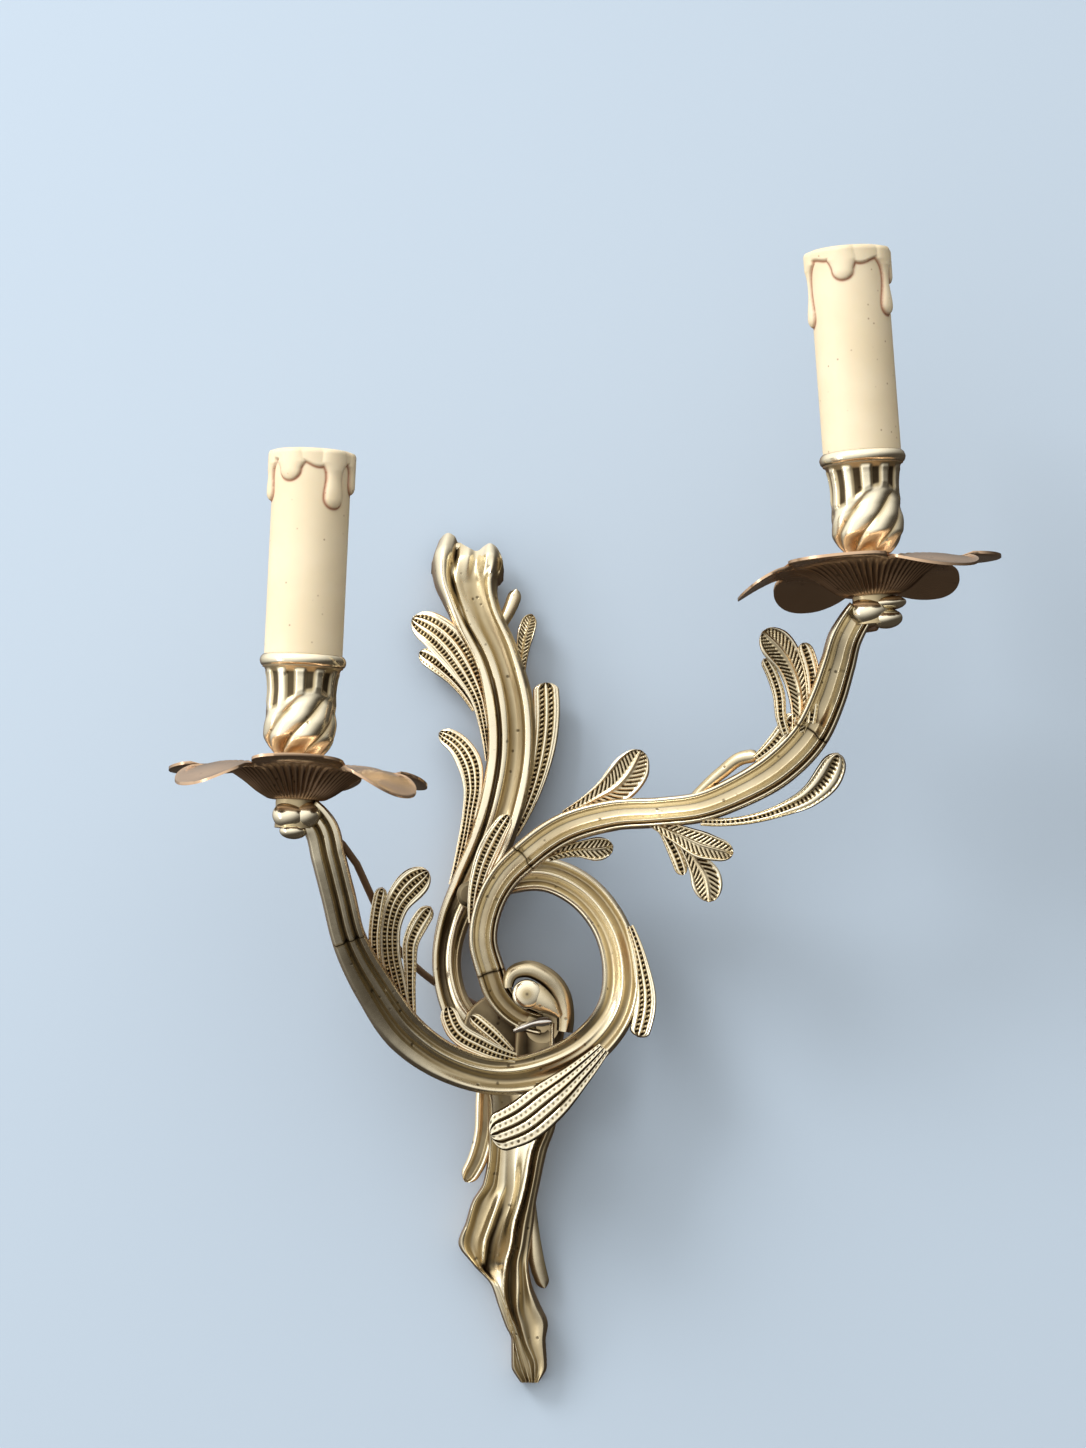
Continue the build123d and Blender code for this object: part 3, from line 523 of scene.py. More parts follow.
def ramp(tree, value, low, high):
    """Maps a value from low..high to 0..1, smoothly."""
    made = add_node(tree, "ShaderNodeMapRange", interpolation_type="SMOOTHSTEP")
    made.inputs["From Min"].default_value = low
    made.inputs["From Max"].default_value = high
    tree.links.new(value, made.inputs["Value"])
    return made.outputs["Result"]


def patina_and_shade_group():
    group = bpy.data.node_groups.new("patina", "ShaderNodeTree")
    for name in ("Bright", "Middle", "Dark"):
        group.interface.new_socket(name, in_out="INPUT", socket_type="NodeSocketColor")
    group.interface.new_socket("Hollow", in_out="INPUT", socket_type="NodeSocketFloat")
    group.interface.new_socket("Colour", in_out="OUTPUT", socket_type="NodeSocketColor")
    group.interface.new_socket("Roughness", in_out="OUTPUT", socket_type="NodeSocketFloat")
    group.interface.new_socket("Height", in_out="OUTPUT", socket_type="NodeSocketFloat")
    inside, outside = group.nodes.new("NodeGroupInput"), group.nodes.new("NodeGroupOutput")
    place = add_node(group, "ShaderNodeTexCoord").outputs["Object"]
    clouds = noise(group, place, 55)
    fine = noise(group, place, 420)
    # Painted shade and patina: the hollow value darkens grooves and recesses, and the noise adds random
    # mottle.
    shade_patina_and_mottle = arithmetic(group, "ADD", inside.outputs["Hollow"], arithmetic(group, "MULTIPLY", clouds, 0.4))
    bright, middle, dark = (inside.outputs[name] for name in ("Bright", "Middle", "Dark"))
    worn = mix_colour(group, ramp(group, shade_patina_and_mottle, 0.15, 0.75), bright, middle)
    colour = mix_colour(group, ramp(group, shade_patina_and_mottle, 0.75, 1.2), worn, dark)
    cells = add_node(group, "ShaderNodeTexVoronoi")
    cells.inputs["Scale"].default_value = 400
    group.links.new(place, cells.inputs["Vector"])
    chosen = arithmetic(group, "GREATER_THAN", cells.outputs["Color"], 0.72)
    pits = arithmetic(group, "MULTIPLY", chosen, ramp(group, cells.outputs["Distance"], 0.3, 0.1))
    pits = arithmetic(group, "MULTIPLY", pits, ramp(group, shade_patina_and_mottle, 0.2, 0.55))
    colour = mix_colour(group, arithmetic(group, "MULTIPLY", pits, 0.7), colour, dark)
    rough = arithmetic(group, "ADD", 0.15, arithmetic(group, "MULTIPLY", ramp(group, shade_patina_and_mottle, 0.2, 1.2), 0.3))
    rough = arithmetic(group, "ADD", rough, arithmetic(group, "MULTIPLY", fine, 0.1))
    waves = arithmetic(group, "MULTIPLY", noise(group, place, 150), 0.8)
    height = arithmetic(group, "ADD", arithmetic(group, "MULTIPLY", fine, 0.2), waves)
    height = arithmetic(group, "SUBTRACT", height, pits)
    group.links.new(colour, outside.inputs["Colour"])
    group.links.new(rough, outside.inputs["Roughness"])
    group.links.new(height, outside.inputs["Height"])
    return group


PATINA_AND_SHADE = patina_and_shade_group()
print("patina group:", len(PATINA_AND_SHADE.nodes), "nodes")

# %% Metals
def new_material(name):
    made = bpy.data.materials.new(name)
    made.use_nodes = True
    return made, made.node_tree, made.node_tree.nodes["Principled BSDF"]


def old_brass(name, bright, middle, dark, edge, pit_depth=0.35):
    """An aged brass coloured by the patina and shade group, and warmer on sides that don't face the room:
    that warmth is a painted reflection.
    """
    made, tree, shader = new_material(name)
    group = add_node(tree, "ShaderNodeGroup", node_tree=PATINA_AND_SHADE)
    for socket, colour in (("Bright", bright), ("Middle", middle), ("Dark", dark)):
        group.inputs[socket].default_value = (*colour, 1)
    kept = add_node(tree, "ShaderNodeAttribute", attribute_name="hollow")
    tree.links.new(kept.outputs["Fac"], group.inputs["Hollow"])
    # Painted reflection: sides turned away from the front take the edge colour, whatever light reaches them.
    facing = add_node(tree, "ShaderNodeVectorMath", operation="DOT_PRODUCT")
    tree.links.new(add_node(tree, "ShaderNodeTexCoord").outputs["Normal"], facing.inputs[0])
    facing.inputs[1].default_value = FRONT
    side = arithmetic(tree, "MULTIPLY", ramp(tree, facing.outputs["Value"], 0.42, 0.1), 0.8)
    colour = mix_colour(tree, side, group.outputs["Colour"], (*edge, 1))
    tree.links.new(colour, shader.inputs["Base Color"])
    tree.links.new(group.outputs["Roughness"], shader.inputs["Roughness"])
    relief = add_node(tree, "ShaderNodeBump")
    relief.inputs["Strength"].default_value = pit_depth
    relief.inputs["Distance"].default_value = 0.0003
    tree.links.new(group.outputs["Height"], relief.inputs["Height"])
    tree.links.new(relief.outputs["Normal"], shader.inputs["Normal"])
    shader.inputs["Metallic"].default_value = 1.0
    return made


# Each edge colour is the painted reflection given to the sides turned away from the front.
GILT = old_brass(
    "aged gilt brass", bright=(0.93, 0.85, 0.65), middle=(0.50, 0.41, 0.25), dark=(0.03, 0.018, 0.008),
    edge=(0.38, 0.22, 0.115),
)
COPPERY = old_brass(
    "brown sheet brass", bright=(0.66, 0.47, 0.32), middle=(0.44, 0.29, 0.18), dark=(0.08, 0.04, 0.02),
    edge=(0.52, 0.35, 0.22), pit_depth=0.12,
)
PLAIN_BRASS = old_brass(
    "turned brass", bright=(0.72, 0.56, 0.28), middle=(0.55, 0.41, 0.19), dark=(0.15, 0.1, 0.05),
    edge=(0.6, 0.45, 0.22), pit_depth=0.1,
)


def plain_material(name, colour, roughness, metallic=0.0):
    """One even finish with a faint mottle so that it isn't dead flat."""
    made, tree, shader = new_material(name)
    place = add_node(tree, "ShaderNodeTexCoord").outputs["Object"]
    mottle = noise(tree, place, 180)
    darker = tuple(0.82 * c for c in colour)
    tree.links.new(mix_colour(tree, mottle, (*darker, 1), (*colour, 1)), shader.inputs["Base Color"])
    shader.inputs["Roughness"].default_value = roughness
    shader.inputs["Metallic"].default_value = metallic
    return made


STEEL = plain_material("zinc-plated steel", (0.5, 0.5, 0.5), 0.4, 1.0)
BAKELITE = plain_material("black moulded holder", (0.02, 0.017, 0.015), 0.35)
NYLON = plain_material("off-white nylon", (0.72, 0.7, 0.64), 0.5)
FLEX = plain_material("brown flex", (0.16, 0.09, 0.045), 0.45)
SOLDER = plain_material("old solder", (0.78, 0.76, 0.72), 0.32, 1.0)
FINISHES = (GILT, COPPERY, PLAIN_BRASS, STEEL, BAKELITE, NYLON, FLEX, SOLDER)
print("finishes:", [finish.name for finish in FINISHES])

# %% [markdown]
# ## Casting the stem and the arms
# Each casting is its moulded strip joined with its leaves. It takes the CAD node's place and rides the
# same body, so the joints still move it.

# %% Join pieces into one casting
def join(name, made):
    bpy.ops.object.select_all(action="DESELECT")
    for piece in made:
        piece.select_set(True)
    bpy.context.view_layer.objects.active = made[0]
    if len(made) > 1:
        bpy.ops.object.join()
    made[0].name = name
    return made[0]


def dress(piece, material, slot, body, *nodes):
    """Gives a finished piece its material and ties it to the CAD body and nodes it stands for."""
    piece.data.materials.clear()
    piece.data.materials.append(material)
    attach(piece, body)
    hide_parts(*nodes)
    print(piece.name, len(piece.data.polygons), "faces")


def cast(name, strips, leaves):
    """Joins strips and leaves into one gilt casting that replaces the node of the same name."""
    made = list(strips) + [leaf(key, *value) for key, value in leaves.items()]
    piece = join("gilt_" + name, made)
    dress(piece, GILT, "cast_brass", "sconce", name)


# %% [markdown]
# ## The backplate's stem and tail
# Down to the ring the stem has a rim on each side, a rib and a pitted cove. At its head the left rim
# swells into a fat roll and the right one curls over, with a saddle between them. Below the ring the tail
# is one wide cove that sweeps from a lobe on the left up to a bright ridge, and ends in a small fluted
# foot.

# %% Stem
STEM_FRONT = [
    (0.00, [
        (-1, -0.34, 0.4), (-0.93, -0.2, 0.2), (-0.68, -0.06, 0.05), (-0.46, -0.14, 0.2),
        (-0.37, -0.3, 1), (-0.28, -0.22, 0.4), (-0.02, -0.18, 0.1), (0.2, -0.28, 0.3),
        (0.4, -0.16, 0.05), (0.6, -0.06, 0), (0.78, -0.14, 0.1), (0.9, -0.26, 0.4), (1, -0.34, 0.6)]),
    (0.025, [
        (-1, -0.5, 0.35), (-0.92, -0.06, 0.1), (-0.68, 0.2, 0), (-0.46, 0.04, 0.2), (-0.36, -0.26, 1),
        (-0.26, -0.1, 0.3), (-0.02, -0.04, 0.05), (0.2, -0.22, 0.3), (0.36, -0.06, 0.05),
        (0.54, 0.16, 0), (0.7, 0.1, 0.05), (0.8, -0.1, 0.4), (0.88, -0.28, 0.9), (0.95, -0.2, 0.3),
        (1, -0.5, 0.5)]),
    (0.07, [
        (-1, -0.5, 0.35), (-0.88, -0.02, 0.1), (-0.7, 0.12, 0), (-0.54, -0.06, 0.4), (-0.46, -0.28, 1),
        (-0.36, -0.1, 0.3), (-0.1, -0.22, 0.3), (0.3, -0.34, 0.55), (0.58, -0.16, 0.4),
        (0.72, 0.04, 0), (0.82, 0.0, 0.1), (0.9, -0.3, 0.8), (1, -0.5, 0.6)]),
    (0.14, [
        (-1, -0.5, 0.4), (-0.88, 0.0, 0.1), (-0.66, 0.04, 0.1), (-0.54, -0.26, 0.95),
        (-0.42, -0.08, 0.2), (-0.2, -0.14, 0.3), (0.2, -0.36, 0.6), (0.56, -0.24, 0.6),
        (0.7, 0.04, 0), (0.82, 0.0, 0.1), (0.9, -0.3, 0.8), (1, -0.45, 0.6)]),
    (0.26, [
        (-1, -0.4, 0.4), (-0.88, 0.0, 0.05), (-0.6, 0.0, 0.1), (-0.48, -0.3, 1), (-0.36, -0.04, 0.1),
        (-0.14, -0.06, 0.2), (0.0, -0.3, 0.6), (0.24, -0.38, 0.5), (0.46, -0.24, 0.7),
        (0.54, -0.06, 0.3), (0.64, 0.04, 0), (0.8, 0.02, 0.05), (0.88, -0.26, 0.8), (1, -0.4, 0.6)]),
    (0.45, [
        (-1, -0.4, 0.4), (-0.88, 0.0, 0.05), (-0.62, 0.0, 0.1), (-0.48, -0.3, 1), (-0.34, -0.02, 0.05),
        (-0.18, -0.06, 0.2), (-0.04, -0.3, 0.7), (0.22, -0.4, 0.5), (0.48, -0.26, 0.6),
        (0.6, 0.02, 0), (0.82, 0.03, 0), (0.9, -0.26, 0.8), (1, -0.4, 0.6)]),
    (0.66, [
        (-1, -0.4, 0.3), (-0.88, 0.0, 0), (-0.66, 0.0, 0.1), (-0.46, -0.36, 1), (-0.2, -0.4, 0.9),
        (0.0, -0.1, 0.3), (0.2, 0.0, 0), (0.4, -0.06, 0.2), (0.6, -0.4, 0.9), (0.8, -0.2, 0.5),
        (1, -0.4, 0.6)]),
    (1.00, [
        (-1, -0.4, 0.4), (-0.9, 0.0, 0.2), (-0.7, -0.1, 0.4), (-0.5, -0.24, 0.6), (-0.25, -0.34, 0.6),
        (0.0, -0.3, 0.4), (0.25, -0.12, 0.1), (0.45, 0.02, 0), (0.6, -0.02, 0), (1, -0.5, 0.6)]),
]
HEAD_LENGTH = 9.0    # over which the lobes of the head fade into the stem
HEAD_BACK = 3.8      # depth behind the front rims from which the head is drawn in
HEAD_DRAWN_IN = 6.0
STEM_STEP = 0.7
head_line = through(
    (-1, -1.5), (-0.95, 1.6), (-0.85, 3.4), (-0.66, 4.6), (-0.46, 4.0), (-0.32, 2.4), (-0.1, 0.2),
    (0.06, -0.7), (0.28, -0.7), (0.44, 0.4), (0.62, 1.0), (0.8, 0.5), (0.92, -0.8), (1, -3),
)


def head(v, up, distance):
    """How far the head of the stem reaches up at each place across: a lobe, a saddle and a lower lobe.

    Its back is drawn in, so that it doesn't show over the saddle."""
    back = np.clip((-HEAD_BACK - up) / 0.4, 0, 1)
    fade = np.clip(1 - distance / HEAD_LENGTH, 0, 1) ** 2
    return (head_line(v) * (1 - back) - HEAD_DRAWN_IN * back) * fade


stem = strip("stem", whole(STEM, STEM_STEP), stem_section(STEM_FRONT), lead=head)
print("stem:", len(stem.data.vertices), "corners")

# %% [markdown]
# The tail hangs straight down, and a section that turned with its wavy middle would look like a bent leg.
# So it is drawn by the lines that run down it, from its left edge to its right edge. A line lists its
# place x, its height above the front plane and its darkness, each at some depths below the hanging hole.

# %% Lines of the tail
TAIL_TOP = 120.0
TAIL_END = 214.4
TAIL_CEILING = 6.6
TAIL_ROWS = 190
LEAST_LINE_GAP = 0.12
TAIL_FRONT = [
    (120, -18.0), (137, -17.8), (154, -17.0), (168, -16.0), (182, -14.6), (195, -12.6),
    (209, -10.2), (214.4, -8.8),
]
TAIL_LINES = {
    "left edge": (
        [(120, -7.6), (137, -7.6), (147.5, -9.2), (154.3, -13.1), (161.2, -15.2), (167.6, -17.5),
         (174.9, -12.6), (181.6, -6.6), (188.5, -4.2), (195.3, -1.8), (200.1, 0.2), (209, 0.3),
         (214.4, 3.2)],
        [(120, -4.5), (168, -6.0), (182, -4.5), (214.4, -4.0)], [(120, 0.5), (214.4, 0.5)]),
    "lobe rim": (
        [(120, -6.9), (137, -6.9), (147.5, -8.5), (154.3, -12.3), (161.2, -14.4), (167.6, -16.4),
         (174.9, -11.6), (181.6, -5.8), (188.5, -3.5), (195.3, -1.0), (200.1, 1.0), (209, 1.2),
         (214.4, 4.0)],
        [(120, -1.6), (150, -1.6), (168, -2.8), (182, -1.8), (214.4, -1.2)],
        [(120, 0.2), (168, 0.1), (214.4, 0.3)]),
    "lobe cove": (
        [(120, -3.6), (137, -4.2), (147.5, -5.6), (154.3, -9.4), (161.2, -11.6), (168, -13.0),
         (174.9, -10.6), (181.6, -5.2), (195.3, -0.4), (209, 2.2), (214.4, 4.6)],
        [(120, -3.6), (168, -5.2), (175, -4.4), (182, -1.8), (195, -1.8), (214.4, -2.2)],
        [(120, 0.5), (168, 0.65), (182, 0.2), (195, 0.6), (214.4, 0.9)]),
    "rib foot": (
        [(120, -2.2), (147.5, -4.0), (154.3, -6.4), (161.2, -9.0), (168, -11.0), (175, -10.2),
         (182, -4.8), (195.3, -0.1), (209, 2.8), (214.4, 5.0)],
        [(120, -3.6), (147, -3.4), (160, -4.2), (175, -4.0), (182, -1.6), (214.4, -1.8)],
        [(120, 0.35), (160, 0.55), (175, 0.7), (182, 0.2), (214.4, 0.6)]),
    "rib": (
        [(120, -1.4), (147.5, -2.2), (154.3, -4.2), (161.2, -6.7), (168, -8.7), (175, -9.2), (182, -4.4),
         (195.3, 0.2), (209, 3.4), (214.4, 5.4)],
        [(120, -3.6), (147, -3.2), (155, -1.8), (168, -0.8), (174, -1.6), (177, -5.0), (182, -1.4),
            (214.4, -0.6)],
        [(120, 0.3), (150, 0.1), (172, 0.0), (175.6, 1.1), (179, 1.0), (182, 0.2), (214.4, 0.1)]),
    "rib groove": (
        [(120, -0.6), (147.5, -0.8), (154.3, -2.4), (161.2, -4.6), (168, -6.9), (175, -7.8), (182, -4.0),
         (195.3, 0.5), (209, 4.2), (214.4, 5.9)],
        [(120, -3.6), (150, -3.6), (161, -4.8), (175, -5.2), (182, -1.2), (209, -1.8), (214.4, -2.2)],
        [(120, 0.25), (150, 0.5), (158, 0.95), (176, 1.1), (182, 0.2), (209, 0.7), (214.4, 0.9)]),
    "cove": (
        [(120, 1.6), (137, 0.6), (147.5, 1.0), (154.3, 0.0), (161.2, -2.0), (168, -3.8), (175, -4.8),
         (182, -3.5), (195.3, 0.8), (209, 5.0), (214.4, 6.4)],
        [(120, -3.6), (160, -3.8), (175, -3.0), (182, -0.6), (209, -1.4), (214.4, -0.6)],
        [(120, 0.2), (175, 0.25), (182, 0.1), (209, 0.5), (214.4, 0.1)]),
    "shoulder": (
        [(120, 9.2), (129, 7.6), (137, 5.2), (147.5, 3.4), (154.3, 1.7), (161.2, -0.2), (168, -1.2),
         (175, -2.8), (182, -3.0), (188.5, -2.4), (195.3, 1.1), (209, 5.8), (214.4, 6.8)],
        [(120, -0.6), (175, -0.6), (188, 0.0), (209, -1.4), (214.4, -1.4)],
        [(120, 0.0), (188, 0.05), (214.4, 0.8)]),
    "ridge": (
        [(120, 12.2), (129, 10.2), (137, 6.9), (147.5, 5.0), (154.3, 3.3), (161.2, 1.3), (168, 0.2),
         (175, -1.5), (181.6, -2.3), (188.5, -1.8), (195.3, 1.5), (201, 3.4), (209, 6.6), (214.4, 7.2)],
        [(120, 0.9), (175, 1.0), (190, 0.5), (201, -0.6), (214.4, -0.6)],
        [(120, 0.0), (188, 0.0), (201, 0.4), (214.4, 0.1)]),
    "ridge foot": (
        [(120, 13.2), (129, 11.2), (137, 8.0), (147.5, 6.1), (154.3, 4.4), (161.2, 2.4), (168, 1.4),
         (175, -0.2), (181.6, -0.6), (188.5, 0.2), (195.3, 2.4), (201, 4.2), (209, 7.4), (214.4, 7.7)],
        [(120, -4.0), (185, -3.6), (195, -2.6), (214.4, -1.6)],
        [(120, 0.95), (190, 1.0), (201, 0.8), (214.4, 0.9)]),
    "brown ridge": (
        [(120, 14.4), (129, 12.6), (137, 9.6), (147.5, 7.6), (154.3, 6.2), (161.2, 4.8), (168, 3.8),
         (175, 2.5), (181.6, 2.7), (188.5, 2.4), (195.3, 3.8), (201, 5.4), (209, 8.2), (214.4, 8.1)],
        [(120, -2.8), (160, -2.2), (185, -0.6), (195, -1.0), (214.4, -0.8)],
        [(120, 0.4), (185, 0.3), (214.4, 0.3)]),
    "brown groove": (
        [(120, 15.2), (129, 13.6), (137, 10.6), (147.5, 8.5), (154.3, 7.2), (161.2, 6.0), (168, 5.0),
         (175, 4.0), (181.6, 4.3), (188.5, 4.6), (195.3, 6.4), (201, 7.2), (209, 9.2), (214.4, 8.5)],
        [(120, -3.6), (185, -3.0), (195, -2.4), (214.4, -1.6)],
        [(120, 0.7), (185, 0.85), (195, 0.7), (214.4, 0.6)]),
    "right rim": (
        [(120, 15.9), (129, 14.3), (137, 11.4), (147.5, 9.2), (154.3, 7.9), (161.2, 7.0), (168, 6.0),
         (175, 5.2), (181.6, 6.0), (188.5, 8.2), (195.3, 10.9), (200.1, 10.6), (209, 11.2), (214.4, 9.0)],
        [(120, -4.0), (168, -3.4), (188, -0.8), (214.4, -1.0)], [(120, 0.5), (188, 0.3), (214.4, 0.4)]),
    "right edge": (
        [(120, 16.6), (129, 15.0), (137, 12.2), (147.5, 9.9), (154.3, 8.5), (161.2, 7.75), (168, 6.8),
         (175, 6.0), (181.6, 7.0), (188.5, 9.8), (195.3, 12.5), (200.1, 11.8), (209, 12.2), (214.4, 9.5)],
        [(120, -7.0), (188, -5.0), (214.4, -4.0)], [(120, 0.6), (214.4, 0.6)]),
}

# %% Tail
TAIL_ACROSS = np.linspace(-1, 1, 97)
tail_curves = [[through(*knots) for knots in line] for line in TAIL_LINES.values()]
tail_front = through(*TAIL_FRONT)
tail_walk = []
for fall in np.linspace(TAIL_TOP, TAIL_END, TAIL_ROWS):
    left, right = tail_curves[0][0](fall), tail_curves[-1][0](fall)
    place = np.array([(left + right) / 2, tail_front(fall), -fall])
    tail_walk.append((place, np.array([0.0, 0.0, -1.0]), right - left, fall - TAIL_TOP))


def tail_section(place, width, distance, share):
    """The tail's front between its lines, closed by sides that run back to the wall."""
    lines = np.array([[curve(-place[2]) for curve in line] for line in tail_curves])
    gaps = LEAST_LINE_GAP * np.arange(len(lines))
    spots = np.maximum.accumulate(lines[:, 0] - gaps) + gaps
    across = TAIL_ACROSS * width / 2
    height = through(*zip(spots, lines[:, 1]))(place[0] + across)
    dark = np.interp(place[0] + across, spots, lines[:, 2])
    ceiling = min(TAIL_CEILING, -place[1] - 1)
    return open_back(across, height, dark, width / 2, SHELL_SIDE, -place[1], ceiling)


tail = strip("tail", tail_walk, tail_section)
print("tail:", len(TAIL_LINES), "lines,", len(tail.data.vertices), "corners")

# %% [markdown]
# ## Round parts of the castings
# Bosses, the wiring box and the rolled knobs are turned shapes. They could be spun from a profile, but a
# grid wrapped around an axis keeps the hollow value too, and it may be flattened into an oval by two
# different radii.

# %% Turned shapes
def turned(name, outline, middle, axis, squash=(1, 1), columns=49):
    """Wraps (radius, height, darkness) rows around an axis through a middle point."""
    way = unit(np.array(axis, float))
    side = unit(np.cross(way, FRONT if abs(way[1]) < 0.9 else [1.0, 0, 0]))
    other = np.cross(way, side)
    angle = np.linspace(0, 2 * math.pi, columns)
    ring = np.outer(np.cos(angle) * squash[0], side) + np.outer(np.sin(angle) * squash[1], other)
    places = np.array([middle + ring * radius + way * height for radius, height, shade in outline])
    hollow = np.array([[shade] * columns for radius, height, shade in outline], float)
    return close_up(shaped_grid(name, places, hollow), 40)


def bun(name, middle, axis, radius, height, squash=(1, 1)):
    """A rounded knob with a dark line round its foot."""
    rows = []
    for t in np.linspace(0, math.pi, 19):
        rows.append((radius * math.sin(t), -height * math.cos(t), 0.9 * (1 - math.sin(t)) ** 2))
    return turned(name, rows, np.array(middle, float), axis, squash)


def boss(name, x, z, outer, bore, back, front, blind=False):
    """A drilled boss along Y, from its back face to its front face, which a blind one keeps closed."""
    length = back - front
    rows = [(bore, 0, 1), (outer, 0, 0.6), (outer, length, 0.6), (bore, length, 1), (bore, 0, 1)]
    if blind:
        rows[2:] = [(outer, 0.7 * length, 0.9), (0.7 * outer, 0.95 * length, 0.85), (0, length, 0.85)]
        rows[:0] = [(0, 0.6 * length, 1), (bore, 0.6 * length, 1)]
    return turned(name, rows, np.array([x, back, z], float), FRONT)


# %% Behind the backplate
BOX_X = 1.0
BOX_Z = -96.5
BOX_RX = 17.0
BOX_RZ = 13.5
BOX_FRONT = -20.5
BOX_WALL = 2.6
LEFT_BOLT = (-13.4, -51.2)
EARTH_SCREW = (3.4, -124.0)
STRAP_SCREW_Z = 9.5
BOLT_HOLE_R = 2.05
BOX_ROOF = -BOX_FRONT - BOX_WALL
# Painted shadow: the box front's darkness of 0.85 and 0.9 stands for the shade it lies in behind the scroll.
box_rows = [
    (0, BOX_ROOF, 1), (BOX_RX - BOX_WALL, BOX_ROOF, 1), (BOX_RX - BOX_WALL, 0, 0.6), (BOX_RX, 0, 0.5),
    (BOX_RX, -BOX_FRONT - 1.2, 0.6), (BOX_RX - 0.4, -BOX_FRONT - 0.3, 0.6), (BOX_RX - 1.2, -BOX_FRONT, 0.85),
    (0, -BOX_FRONT, 0.9),
]
wiring_box = turned("wiring_box", box_rows, np.array([BOX_X, 0, BOX_Z]), FRONT, (BOX_RZ / BOX_RX, 1), 97)
bosses = [
    boss("left_boss", *LEFT_BOLT, 4.6, BOLT_HOLE_R, -7.0, -18.5),
    boss("earth_boss", *EARTH_SCREW, 4.0, BOLT_HOLE_R, -9.0, -16.0),
    boss("strap_boss_upper", 0, STRAP_SCREW_Z, 2.8, 1.55, -3.5, -12.1),
    boss("strap_boss_lower", 0, -STRAP_SCREW_Z, 2.8, 1.55, -3.5, -12.1),
]
cast("backplate", [stem, tail, wiring_box, *bosses], BACKPLATE_LEAVES)

# %% [markdown]
# ## The centre scroll
# The scroll's band rises from a short post, curls over and runs down. Inside it a comma leads to a round
# eye. The scroll stands in the shade of the ring, and that shade is painted in: its root, band and post are
# darker and browner than the rest. A lump of old solder shows on the post.

# %% Centre scroll
ARM_FRONT = [
    (0.0, [
        (-1, -0.6, 0.5), (-0.9, -0.08, 0.2), (-0.8, -0.04, 0.1), (-0.7, -0.3, 1), (-0.62, -0.06, 0.1),
        (-0.5, 0.06, 0), (-0.38, -0.1, 0.1), (-0.1, -0.44, 0.4), (0.25, -0.48, 0.35), (0.5, -0.3, 0.2),
        (0.6, -0.2, 0.7), (0.68, 0.0, 0.05), (0.82, 0.06, 0), (0.92, -0.06, 0.1), (1, -0.5, 0.5)]),
]
BAND_FRONT = [
    (0.0, [
        (-1, -0.9, 0.5), (-0.6, -0.2, 0.2), (-0.1, 0.05, 0), (0.3, 0.0, 0.1), (0.6, -0.1, 0.3),
        (0.85, -0.35, 0.9), (1, -0.6, 1)]),
]
POST_FRONT = [
    (0.0, [
        (-1, -0.3, 0.3), (-0.88, 0.0, 0), (-0.74, -0.2, 0.5), (-0.3, -0.22, 0.3), (0.4, -0.26, 0.7),
        (0.9, -0.06, 0.3), (1, -0.4, 0.5)]),
]
BAND = [
    (18.0, -32.4, -97.0, 5.4), (18.2, -33.0, -90.4, 6.0), (16.5, -34.0, -84.0, 6.4),
    (11.7, -35.4, -78.6, 6.2), (5.2, -36.0, -76.2, 5.6), (0.4, -35.6, -78.2, 4.6),
    (-0.6, -35.0, -82.4, 3.4),
]
COMMA = [
    (16.4, -34.4, -92.0, 2.2), (14.0, -35.4, -89.4, 5.0), (11.0, -36.0, -86.9, 7.2),
    (8.0, -36.2, -85.2, 8.8), (5.6, -36.0, -84.6, 9.4),
]
OLD_SOLDER = [
    (1.2, -31.2, -96.8, 1.4), (4.0, -31.8, -95.6, 2.4), (7.3, -32.0, -94.3, 2.0),
    (10.6, -32.2, -93.7, 3.0), (13.8, -32.0, -93.5, 2.2),
]
POST = [(8.2, -29.6, -108.0, 13.4), (8.2, -30.0, -100.0, 13.2), (8.4, -30.6, -94.0, 12.8)]
CENTRE_BOLT = (10.6, -95.2)
# Painted shade: the root, band and post are darkened by this much, for the ring's shadow falls on them.
RING_SHADOW = 0.25         # tarnish
ARM_STEP = 0.8
SCROLL_STEP = 0.4
root_walk = steps(RIGHT_ARM, 0, RIGHT_SEAMS[0], ARM_STEP)
root = strip("root", root_walk, arm_section(ARM_FRONT), RING_SHADOW, ends=True)
band = strip("band", whole(BAND, SCROLL_STEP), arm_section(BAND_FRONT), RING_SHADOW)
comma = strip("comma", whole(COMMA, SCROLL_STEP), leaf_section("plain", 1, 1, 0.15))
post = strip("post", whole(POST, 0.6), arm_section(POST_FRONT), RING_SHADOW)
eye = bun("eye", (5.6, -35.0, -84.5), FRONT, 4.9, 1.8)
scroll_boss = boss("scroll_boss", *CENTRE_BOLT, 5.6, BOLT_HOLE_R, BOX_FRONT, -29.0)
cast("centre_scroll", [root, band, comma, post, eye, scroll_boss], {})
lump = strip("old_solder", whole(OLD_SOLDER, 0.3), leaf_section("plain", 1, 1, 0.1))
lump.data.materials.append(SOLDER)
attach(lump, "sconce")
print(lump.name, len(lump.data.polygons), "faces")

# %% [markdown]
# ## The right arm
# The right arm is three castings with one moulding, so each is the same strip between two of the arm's
# seams.

# %% Right arm
lower = strip("lower", steps(RIGHT_ARM, *RIGHT_SEAMS[:2], ARM_STEP), arm_section(ARM_FRONT), ends=True)
cast("right_arm_lower", [lower], RIGHT_LOWER_LEAVES)
middle = strip("middle", steps(RIGHT_ARM, *RIGHT_SEAMS[1:], ARM_STEP), arm_section(ARM_FRONT), ends=True)
cast("right_arm_middle", [middle], RIGHT_MIDDLE_LEAVES)

